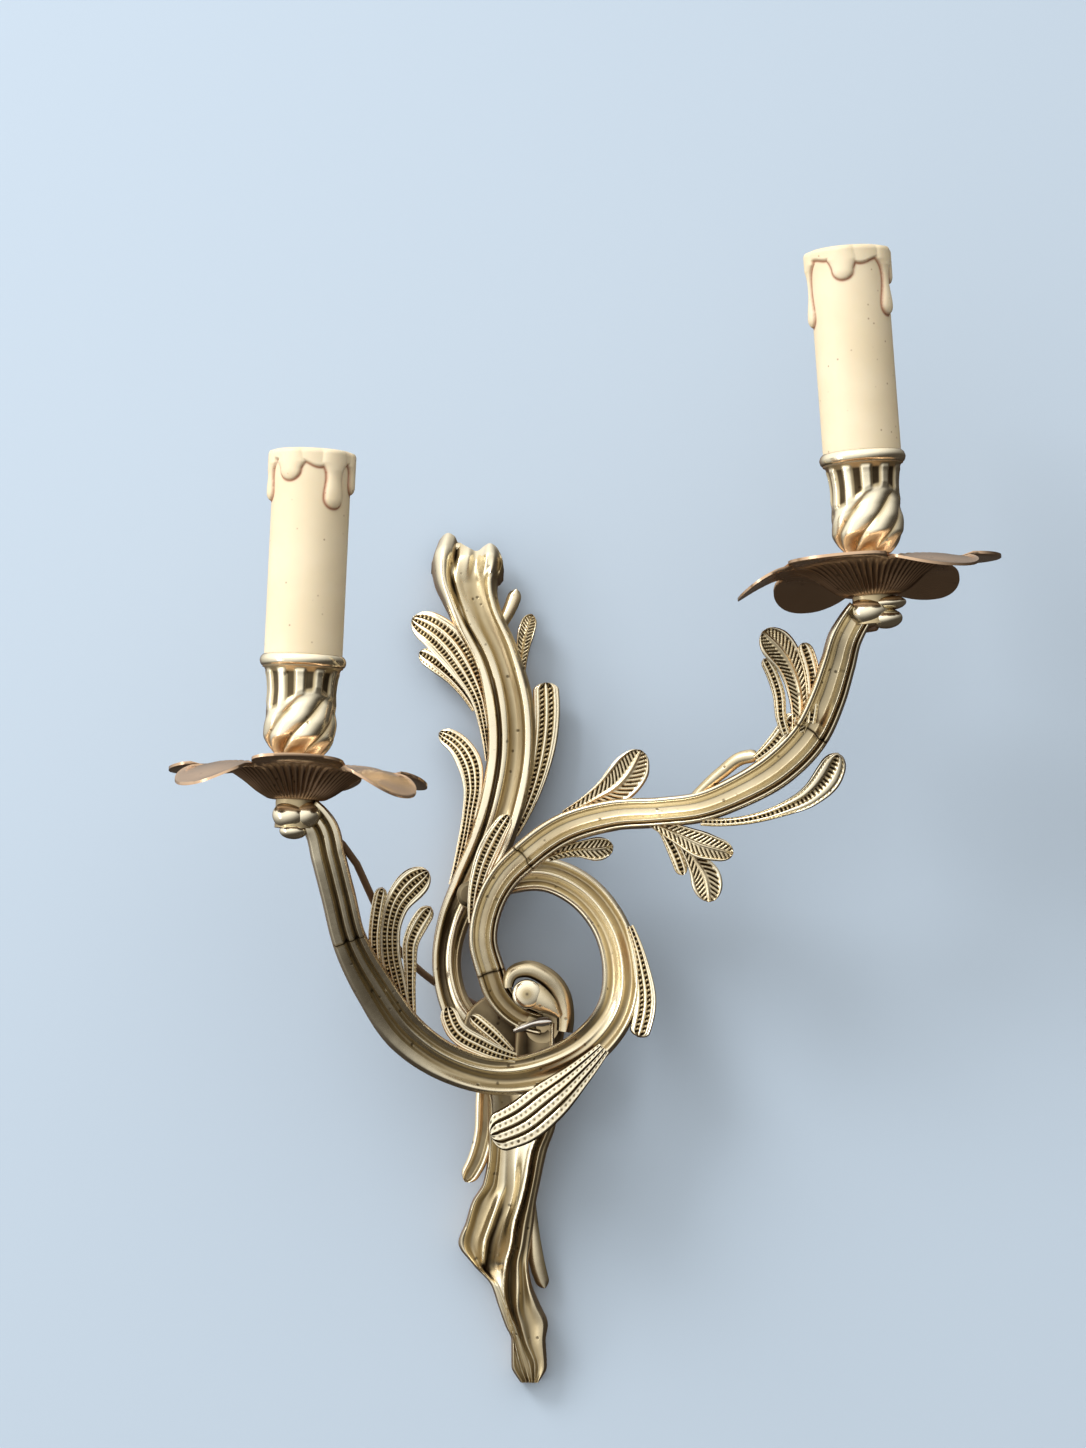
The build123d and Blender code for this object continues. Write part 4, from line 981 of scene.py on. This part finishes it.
# %% [markdown]
# ## Seats of the lights
# Each arm ends in a drilled block under its light, hidden in front by rolled knobs. The knobs are closed
# lumps that also run through much of the block's hole, under the pan.

# %% Arm ends
LEFT_SEAT = np.array([-67.5, -95.0, -23.0])
LEFT_LEAN = math.radians(2.5)
RIGHT_SEAT = np.array([116.0, -95.0, 42.0])
RIGHT_LEAN = math.radians(-4.0)
NIPPLE_R = 5.05       # hole for the threaded tube
NIPPLE_DEPTH = 5
SEAT_R = 6.6
SEAT_DEPTH = 9
SEAT_BORE_R = 3.6     # hole for the flex
SEAT_TOP = -0.05


def seated(places, seat, lean):
    """Leans upright places over about the Y axis and moves them to a seat."""
    x, y, z = np.moveaxis(np.asarray(places, float), -1, 0)
    leaned_x = x * math.cos(lean) + z * math.sin(lean)
    leaned_z = z * math.cos(lean) - x * math.sin(lean)
    return np.stack([leaned_x, y, leaned_z], -1) + seat


def seat_block(name, seat, lean, knobs):
    """The drilled block and its knobs, each (middle, radius across, half height, depth share)."""
    axis = seated((0, 0, 1), np.zeros(3), lean)
    rows = [
        (NIPPLE_R, SEAT_TOP, 1), (SEAT_R, SEAT_TOP, 0.6), (SEAT_R, -SEAT_DEPTH, 0.6),
        (SEAT_BORE_R, -SEAT_DEPTH, 1), (SEAT_BORE_R, -NIPPLE_DEPTH, 1), (NIPPLE_R, -NIPPLE_DEPTH, 1),
        (NIPPLE_R, SEAT_TOP, 1),
    ]
    made = [turned(name, rows, seat, axis)]
    for i, (place, radius, height, depth) in enumerate(knobs):
        made.append(bun(f"{name}_{i}", seated(place, seat, lean), axis, radius, height, (1, depth)))
    return made


LEFT_KNOBS = [
    ((-1.6, -3.0, -5.0), 5.7, 4.6, 0.9), ((-0.4, -3.4, -10.0), 4.4, 2.6, 0.9),
    ((3.4, -2.0, -4.6), 5.2, 4.8, 1.05),
]
RIGHT_KNOBS = [
    ((4.2, -2.0, -2.6), 6.2, 2.5, 0.85), ((3.6, -2.6, -7.6), 5.2, 3.2, 0.9),
    ((-1.6, -1.8, -4.8), 6.4, 5.0, 0.95),
]
upper_walk = steps(RIGHT_ARM, RIGHT_SEAMS[2], len(RIGHT_ARM) - 1, ARM_STEP)
upper = strip("upper", upper_walk, arm_section(ARM_FRONT), ends=True)
right_seat = seat_block("right_seat", RIGHT_SEAT, RIGHT_LEAN, RIGHT_KNOBS)
cast("right_arm_upper", [upper, *right_seat], RIGHT_UPPER_LEAVES)

# %% [markdown]
# ## The left arm
# The left arm first rolls round in a ring and then rises. Its moulding starts as one rib between two rims
# and ends as three even ribs, so it has four stations.

# %% Left arm
RING_FRONT = [
    (0.0, [
        (-1, -0.45, 0.3), (-0.9, -0.02, 0), (-0.74, -0.06, 0.2), (-0.4, -0.34, 0.6), (-0.12, -0.12, 0.2),
        (0.06, 0.02, 0), (0.24, -0.14, 0.3), (0.5, -0.32, 0.6), (0.8, -0.04, 0.1), (1, -0.5, 0.4)]),
    (0.35, [
        (-1, -0.45, 0.3), (-0.9, -0.02, 0), (-0.76, -0.08, 0.3), (-0.44, -0.36, 0.6), (-0.1, -0.12, 0.1),
        (0.06, 0.04, 0), (0.22, -0.16, 0.5), (0.5, -0.34, 0.7), (0.8, -0.1, 0.2), (1, -0.5, 0.4)]),
    (0.60, [
        (-1, -0.45, 0.3), (-0.9, -0.02, 0), (-0.78, -0.14, 0.5), (-0.58, -0.2, 0.5), (-0.4, -0.02, 0.1),
        (-0.28, 0.04, 0), (-0.12, -0.2, 0.5), (0.3, -0.42, 0.6), (0.78, -0.06, 0.1), (1, -0.5, 0.4)]),
    (1.0, [
        (-1, -0.45, 0.3), (-0.88, 0.0, 0), (-0.68, 0.0, 0.1), (-0.48, -0.3, 0.95), (-0.26, 0.0, 0),
        (-0.06, 0.0, 0.1), (0.14, -0.34, 0.9), (0.4, 0.0, 0.1), (0.8, 0.0, 0.1), (1, -0.5, 0.4)]),
]
ring = strip("ring", steps(LEFT_ARM, 0, LEFT_SEAM, ARM_STEP), arm_section(RING_FRONT), ends=True)
ring_boss = boss("ring_boss", *LEFT_BOLT, 4.4, BOLT_HOLE_R, -18.5, -24.0, blind=True)
cast("left_arm_ring", [ring, ring_boss], LEFT_RING_LEAVES)
left_walk = steps(LEFT_ARM, LEFT_SEAM, len(LEFT_ARM) - 1, ARM_STEP)
left_end = strip("left_end", left_walk, arm_section(RING_FRONT[-1:]), ends=True)
left_seat = seat_block("left_seat", LEFT_SEAT, LEFT_LEAN, LEFT_KNOBS)
cast("left_arm_upper", [left_end, *left_seat], {})

# %% [markdown]
# ## The two lights
# Pan, cup and sleeve are round, so each starts as a grid wrapped around the candle's axis: its columns
# are angles and its rows follow the outline up the outside and back down the inside. A light is made
# upright at its seat's height zero, then leaned over and moved to the arm.

# %% Sizes of the lights
SLEEVE_R = 12.5
SLEEVE_WALL = 1.1
SLEEVE_FOOT = 42.0
SLEEVE_TOP = 111.0
PAN_SHEET = 0.9
CUP_FOOT = 13.5
CUP_TOP = 46


def round_grid(name, radius, height, angle, hollow, seat, lean, smooth):
    """A closed grid from radius, height and angle arrays of rows by columns."""
    places = np.stack([radius * np.sin(angle), -radius * np.cos(angle), height], -1)
    return close_up(shaped_grid(name, seated(places, seat, lean), hollow), smooth)


# %% [markdown]
# ## Drip pans
# A pan is pressed from thin sheet: a fluted cone that opens out to a crest, and petals that curl over it.
# A spun profile would make every petal alike. The photographed ones differ, so each lists its own angle
# from the front, its reach and the height of its tip.

# %% Drip pans
CREST_R = 25.0
CREST_Z = 10.4
PAN_NOTCH = 30.5     # radius where two petals meet
PAN_ROWS = 64
FLUTES = 60
FLUTE_HEIGHT = 0.42


def drip_pan(name, seat, lean, petals):
    """A fluted cone with petals, each given as (angle in degrees, reach, tip height)."""
    columns = 361
    angle = np.linspace(-math.pi, math.pi, columns)
    turns, reaches, tips = (np.array(values, float) for values in zip(*petals))
    turns = np.radians(turns)
    gaps = (angle[None, :] - turns[:, None] + math.pi) % (2 * math.pi) - math.pi
    nearest = np.argmin(np.abs(gaps), axis=0)
    off = gaps[nearest, np.arange(columns)]
    others = (turns[None, :] - turns[:, None] + math.pi) % (2 * math.pi) - math.pi
    after = np.array([min(row[row > 0.01]) for row in others]) / 2
    before = np.array([min(-row[row < -0.01]) for row in others]) / 2
    aside = np.clip(np.abs(off) / np.where(off > 0, after[nearest], before[nearest]), 0, 1)
    lobe = np.sqrt(np.clip(1 - aside**2.6, 0, 1))
    rim = PAN_NOTCH + (reaches[nearest] - PAN_NOTCH) * lobe
    out = np.linspace(0, 1, PAN_ROWS)[:, None] ** 0.9
    share = np.concatenate([out, out[::-1], out[:1]])
    top = np.concatenate([np.ones(PAN_ROWS), np.zeros(PAN_ROWS), np.ones(1)])[:, None]
    radius = NIPPLE_R + share * (rim - NIPPLE_R)
    cone = through(
        (NIPPLE_R, 0.45), (8.0, 0.5), (12, 2.6), (18, 7.2), (22, 9.6), (CREST_R, CREST_Z), (60, CREST_Z)
    )
    beyond = np.clip((radius - CREST_R) / (reaches[nearest] - CREST_R), 0, 1)
    droop = (tips[nearest] - CREST_Z) * beyond**1.7 * (1 - 0.45 * aside**2)
    flutes = FLUTE_HEIGHT * np.cos(FLUTES * angle)
    flutes = flutes * np.clip((radius - 8) / 4, 0, 1) * np.clip((30 - radius) / 8, 0, 1)
    lip = 0.5 * np.clip((share - 0.9) / 0.1, 0, 1) ** 2
    valley = -1.1 * aside**4 * np.clip((radius - 12) / 12, 0, 1) * np.clip((34 - radius) / 6, 0, 1)
    height = cone(radius) + droop + flutes + lip + valley + (top - 0.5) * PAN_SHEET
    # Flute valleys take patina and painted shade, and the underside is painted darker towards the middle as
    # the shade under the pan.
    hollow = np.clip(0.15 - 0.9 * flutes, 0, 1) + 0.45 * (1 - top) * np.clip((33 - radius) / 8, 0, 1)
    return round_grid(name, radius, height, angle + 0 * radius, hollow, seat, lean, 60)


LEFT_PETALS = [
    (-54, 41.5, 2.0), (4, 35.0, 12.2), (57, 41.5, 1.0), (112, 42.5, 5.5), (176, 40.0, 4.0),
    (-112, 43.0, 7.5),
]
RIGHT_PETALS = [
    (40, 40.0, 5.0), (96, 42.0, 9.5), (146, 41.0, 0.5), (-150, 41.0, -1.0), (-91, 43.0, 1.5),
    (-28, 35.0, 10.6),
]

# %% [markdown]
# ## Candle cups
# A cup is cast with swirling lobes below and upright flutes above, and the border between them goes up
# and down. Both are worked out as a height over the round wall, each faded out where the other one
# starts.

# %% Candle cups
def candle_cup(name, seat, lean):
    """A cast cup: swirling lobes below, upright flutes above, and a rounded rim that holds the sleeve."""
    columns = 241
    angle = np.linspace(0, 2 * math.pi, columns)[None, :]
    outside = through(
        (CUP_FOOT, 6.9), (15, 8.4), (17, 10.0), (20.5, 11.6), (24, 11.7), (29, 11.0), (34, 10.7),
        (38.5, 11.1), (41, 11.8), (42.2, 12.6), (43, 13.5), (44.2, 13.8), (45.3, 13.5), (CUP_TOP, 12.9),
    )
    climb = np.linspace(CUP_FOOT, CUP_TOP, 110)[:, None]
    border = 3 * np.sin(2 * angle + 0.6)
    swirl_zone = np.clip((31 + border - climb) / 2.5, 0, 1) * np.clip((climb - CUP_FOOT) / 3, 0, 1)
    swirl = 1 - np.abs(np.sin(3.5 * (angle - 0.085 * (climb - 22)))) ** 0.7
    flute_zone = np.clip((climb - 30.5 - border) / 2, 0, 1) * np.clip((41.4 - climb) / 1.2, 0, 1)
    flute = np.clip(np.cos(11 * angle) * 1.8, -1, 1)
    relief = -1.3 * swirl_zone * swirl + 0.42 * flute_zone * flute
    # Swirls, flutes and the groove under the rim take patina and painted shade, and the lining below is
    # painted dark as the shade inside the cup.
    hollow = 0.9 * swirl_zone * swirl**2 + 0.45 * flute_zone * (1 - flute) + 0.5 * bump(climb, 41.6, 1.2)
    lining = np.array([
        (12.85, CUP_TOP), (12.85, 42.1), (11.1, 42.0), (9.7, 39), (8.6, 33), (9.2, 22),
        (8.4, 18.5), (5.1, 18.5), (5.1, CUP_FOOT), (6.9, CUP_FOOT),
    ])
    inner = np.ones((len(lining), columns))
    radius = np.concatenate([outside(climb) + relief, inner * lining[:, :1]])
    height = np.concatenate([climb + 0 * angle, inner * lining[:, 1:]])
    dark = np.concatenate([np.clip(hollow, 0, 1), 0.8 * inner])
    return round_grid(name, radius, height, angle + 0 * radius, dark, seat, lean, 50)


# %% [markdown]
# ## Wax
# The mock candle is a tube with moulded wax. The wax is worked out as a height over the round wall: a
# band at the top with a wavy lower edge, and drips that end in beads. The soiled line along its edge is
# kept in the hollow value.

# %% Candle sleeves
def candle_sleeve(name, seat, lean, drips):
    """A candle sleeve; each drip is (angle in degrees, length, bead radius)."""
    columns = 289
    angle = np.linspace(-math.pi, math.pi, columns)[None, :]
    climb = np.concatenate([np.linspace(SLEEVE_FOOT, 84, 24), np.linspace(84.3, SLEEVE_TOP, 100)])[:, None]
    girth = SLEEVE_R * angle
    half_way = math.pi * SLEEVE_R
    edge = SLEEVE_TOP - 4.2 - 0.9 * np.sin(3 * angle + 0.7) - 0.6 * np.sin(7 * angle)
    inside = climb - edge
    wax = 0.8 * np.clip(inside / 0.9 + 0.3, 0, 1)
    near = inside
    for turn, length, bead in drips:
        across = (girth - SLEEVE_R * math.radians(turn) + half_way) % (2 * half_way) - half_way
        foot = SLEEVE_TOP - length + bead
        along = np.clip(climb - foot, 0, None)
        flare = np.exp(-np.clip(length - bead - 4.2 - along, 0, None) / (0.9 * bead))
        size = bead * (0.42 + 0.58 * np.exp(-((along / (2.0 * bead)) ** 2)) + 1.1 * flare)
        reach = size - np.hypot(across, np.minimum(climb - foot, 0))
        near = np.maximum(near, reach)
        round_top = np.sqrt(np.clip(reach / size * (2 - reach / size), 0, 1))
        wax = np.maximum(wax, np.where(reach > 0, (0.3 + 0.5 * np.minimum(size, bead)) * round_top, 0))
    line = np.exp(-((near + 0.2) / 0.42) ** 2)
    shoulder = np.clip((climb - SLEEVE_TOP + 1.2) / 1.2, 0, 1) ** 2
    radius = SLEEVE_R + wax - 0.5 * shoulder
    soil = np.clip(line, 0, 1)
    bore = SLEEVE_R - SLEEVE_WALL
    inner_rows = np.array([
        (SLEEVE_R - 0.2, SLEEVE_TOP + 0.4), (SLEEVE_R - 0.8, SLEEVE_TOP + 0.4), (bore, SLEEVE_TOP - 0.2),
        (bore, SLEEVE_FOOT), (SLEEVE_R, SLEEVE_FOOT),
    ])
    ones = np.ones((len(inner_rows), columns))
    radius = np.concatenate([radius, ones * inner_rows[:, :1]])
    height = np.concatenate([climb + 0 * angle, ones * inner_rows[:, 1:]])
    dark = np.concatenate([soil, 0.1 * ones])
    return round_grid(name, radius, height, angle + 0 * radius, dark, seat, lean, 60)


# %% [markdown]
# Old wax is cream, a little cloudy and specked, and dirt gathers in a broken line along the drips. A
# little light passes into it, so it gets some subsurface scattering.

# %% Wax material
def wax_material():
    made, tree, shader = new_material("cream candle wax")
    place = add_node(tree, "ShaderNodeTexCoord").outputs["Object"]
    soil = add_node(tree, "ShaderNodeAttribute", attribute_name="hollow").outputs["Fac"]
    clouds = noise(tree, place, 45)
    cream = mix_colour(tree, ramp(tree, clouds, 0.3, 0.75), (0.73, 0.615, 0.415, 1), (0.79, 0.68, 0.485, 1))
    specks = add_node(tree, "ShaderNodeTexVoronoi")
    specks.inputs["Scale"].default_value = 330
    tree.links.new(place, specks.inputs["Vector"])
    chosen = arithmetic(tree, "GREATER_THAN", specks.outputs["Color"], 0.55)
    spot = arithmetic(tree, "MULTIPLY", chosen, ramp(tree, specks.outputs["Distance"], 0.16, 0.05))
    colour = mix_colour(tree, arithmetic(tree, "MULTIPLY", spot, 0.6), cream, (0.25, 0.12, 0.05, 1))
    broken = arithmetic(tree, "MULTIPLY", soil, ramp(tree, noise(tree, place, 160), 0.2, 0.45))
    colour = mix_colour(tree, arithmetic(tree, "MULTIPLY", broken, 0.9), colour, (0.30, 0.09, 0.035, 1))
    tree.links.new(colour, shader.inputs["Base Color"])
    shader.inputs["Roughness"].default_value = 0.48
    shader.inputs["Subsurface Weight"].default_value = 0.12
    shader.inputs["Subsurface Radius"].default_value = (0.004, 0.0025, 0.0012)
    return made


WAX = wax_material()
print("wax:", len(WAX.node_tree.nodes), "nodes")

# %% Place both lights
LEFT_DRIPS = [
    (-80, 16.0, 2.7), (-30, 9.0, 2.6), (38, 18.5, 3.2), (84, 13.0, 2.5), (150, 11.0, 2.4),
    (-140, 13.0, 2.5),
]
RIGHT_DRIPS = [
    (-84, 24.0, 2.8), (-13, 10.0, 2.6), (60, 22.0, 3.0), (92, 11.0, 2.4), (140, 14.0, 2.4),
    (-150, 10.0, 2.3),
]
LIGHTS = {
    "left": (LEFT_SEAT, LEFT_LEAN, LEFT_DRIPS, LEFT_PETALS),
    "right": (RIGHT_SEAT, RIGHT_LEAN, RIGHT_DRIPS, RIGHT_PETALS),
}
for side, (seat, lean, drips, petals) in LIGHTS.items():
    dress(drip_pan(side + "_pan", seat, lean, petals), COPPERY, "sheet_brass", "sconce", side + "_drip_pan")
    dress(candle_cup(side + "_cup", seat, lean), GILT, "cast_brass", "sconce", side + "_candle_cup")
    wax = candle_sleeve(side + "_wax", seat, lean, drips)
    dress(wax, WAX, "candle", side + "_sleeve", side + "_candle_sleeve")

# %% [markdown]
# ## Fittings kept from the CAD
# Screws, tubes, lampholders, the terminal block, the collars and the flexes keep their CAD shapes. Each
# only needs a finish.

# %% Finishes of the kept nodes
KEPT = {
    GILT: ["left_collar", "right_collar"],
    PLAIN_BRASS: ["earth_screw", "terminal_barrels"],
    STEEL: ["hanger_strap", "hanger_screws", "arm_bolts", "terminal_clamp_screws", "terminal_fixing_screw"],
    NYLON: ["terminal_block"],
    FLEX: ["left_flex", "right_flex"],
    BAKELITE: ["left_lampholder_body", "right_lampholder_body"],
}
BRASS_FITTINGS = ("nipple", "lock_nut", "lampholder_shell", "lampholder_contact")
for side in ("left_", "right_"):
    KEPT[PLAIN_BRASS] += [side + fitting for fitting in BRASS_FITTINGS]
for material, names in KEPT.items():
    for name in names:
        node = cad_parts[name]
        node.data.materials.clear()
        node.data.materials.append(material)
print("kept CAD nodes:", sum(len(names) for names in KEPT.values()))

# %% [markdown]
# ## The picture: camera, light and wall
# The camera stands a metre and a half from the wall, a little below the sconce's middle, and is tilted
# up. The wall is a stage plane that only the camera sees, and only from the front, so light still reaches
# the hollow back.

# %% Camera
CAMERA_PLACE = (0.01087, -1.5 + HANG[1] * MM, -0.08645)
CAMERA_TILT = 3.571
CAMERA_LENS = 109.96
camera = bpy.data.objects.new("camera", bpy.data.cameras.new("camera"))
bpy.context.collection.objects.link(camera)
camera.location = CAMERA_PLACE
camera.rotation_euler = (math.radians(90 + CAMERA_TILT), 0, 0)
camera.data.sensor_fit = "AUTO"
camera.data.sensor_width = 36
camera.data.lens = CAMERA_LENS
bpy.context.scene.camera = camera
print("camera at", CAMERA_PLACE)

# %% Wall
bpy.ops.object.select_all(action="DESELECT")
WALL_GAP = 0.0005
WALL_SIZE = 6
wall_place = (0, WALL_GAP + HANG[1] * MM, 0)
bpy.ops.mesh.primitive_plane_add(size=WALL_SIZE, location=wall_place, rotation=(math.radians(90), 0, 0))
wall = bpy.context.object
wall.name = "wall"
paint, tree, shader = new_material("pale blue wall")
shader.inputs["Base Color"].default_value = (0.465, 0.56, 0.67, 1)
shader.inputs["Roughness"].default_value = 0.9
clear = add_node(tree, "ShaderNodeBsdfTransparent")
seen = arithmetic(
    tree, "MULTIPLY", add_node(tree, "ShaderNodeLightPath").outputs["Is Camera Ray"],
    arithmetic(tree, "SUBTRACT", 1.0, add_node(tree, "ShaderNodeNewGeometry").outputs["Backfacing"]),
)
choice = add_node(tree, "ShaderNodeMixShader")
tree.links.new(seen, choice.inputs["Fac"])
tree.links.new(clear.outputs["BSDF"], choice.inputs[1])
tree.links.new(shader.outputs["BSDF"], choice.inputs[2])
tree.links.new(choice.outputs["Shader"], tree.nodes["Material Output"].inputs["Surface"])
wall.data.materials.append(paint)
print("wall at", wall_place)

# %% [markdown]
# A key light from the upper left and a tall strip beside it stand for windows, and the room is a soft
# ramp from a dark side to a bright one. Polished brass mostly shows what it mirrors, so the ramp gives it
# its modelling.

# %% Light
ROOM_SHADE = (0.07, 0.06, 0.05, 1)
ROOM_WINDOW = (1.62, 1.59, 1.53, 1)
WINDOW_WAY = (-0.48, -0.42, 0.77)


def area_light(name, place, aim, size, power):
    lamp = bpy.data.lights.new(name, "AREA")
    lamp.shape = "RECTANGLE"
    lamp.size, lamp.size_y = size
    lamp.energy = power
    made = bpy.data.objects.new(name, lamp)
    bpy.context.collection.objects.link(made)
    made.location = place
    made.rotation_euler = (Vector(aim) - Vector(place)).to_track_quat("-Z", "Y").to_euler()


area_light("key", (-1.0, -1.1, 1.1), (0, 0, -0.05), (0.7, 0.7), 17)
area_light("left strip", (-1.2, -0.6, 0.0), (0, -0.05, 0), (0.25, 1.4), 3)
world = bpy.data.worlds.new("room")
bpy.context.scene.world = world
world.use_nodes = True
sky = world.node_tree
toward = add_node(sky, "ShaderNodeVectorMath", operation="DOT_PRODUCT")
sky.links.new(add_node(sky, "ShaderNodeTexCoord").outputs["Generated"], toward.inputs[0])
toward.inputs[1].default_value = WINDOW_WAY
shade = ramp(sky, toward.outputs["Value"], -0.6, 1.0)
backdrop = sky.nodes["Background"]
room_light = mix_colour(sky, shade, ROOM_SHADE, ROOM_WINDOW)
sky.links.new(room_light, backdrop.inputs["Color"])
backdrop.inputs["Strength"].default_value = 0.95
view = bpy.context.scene.view_settings
view.view_transform = "Standard"
print("lights:", [lamp.name for lamp in bpy.data.lights])
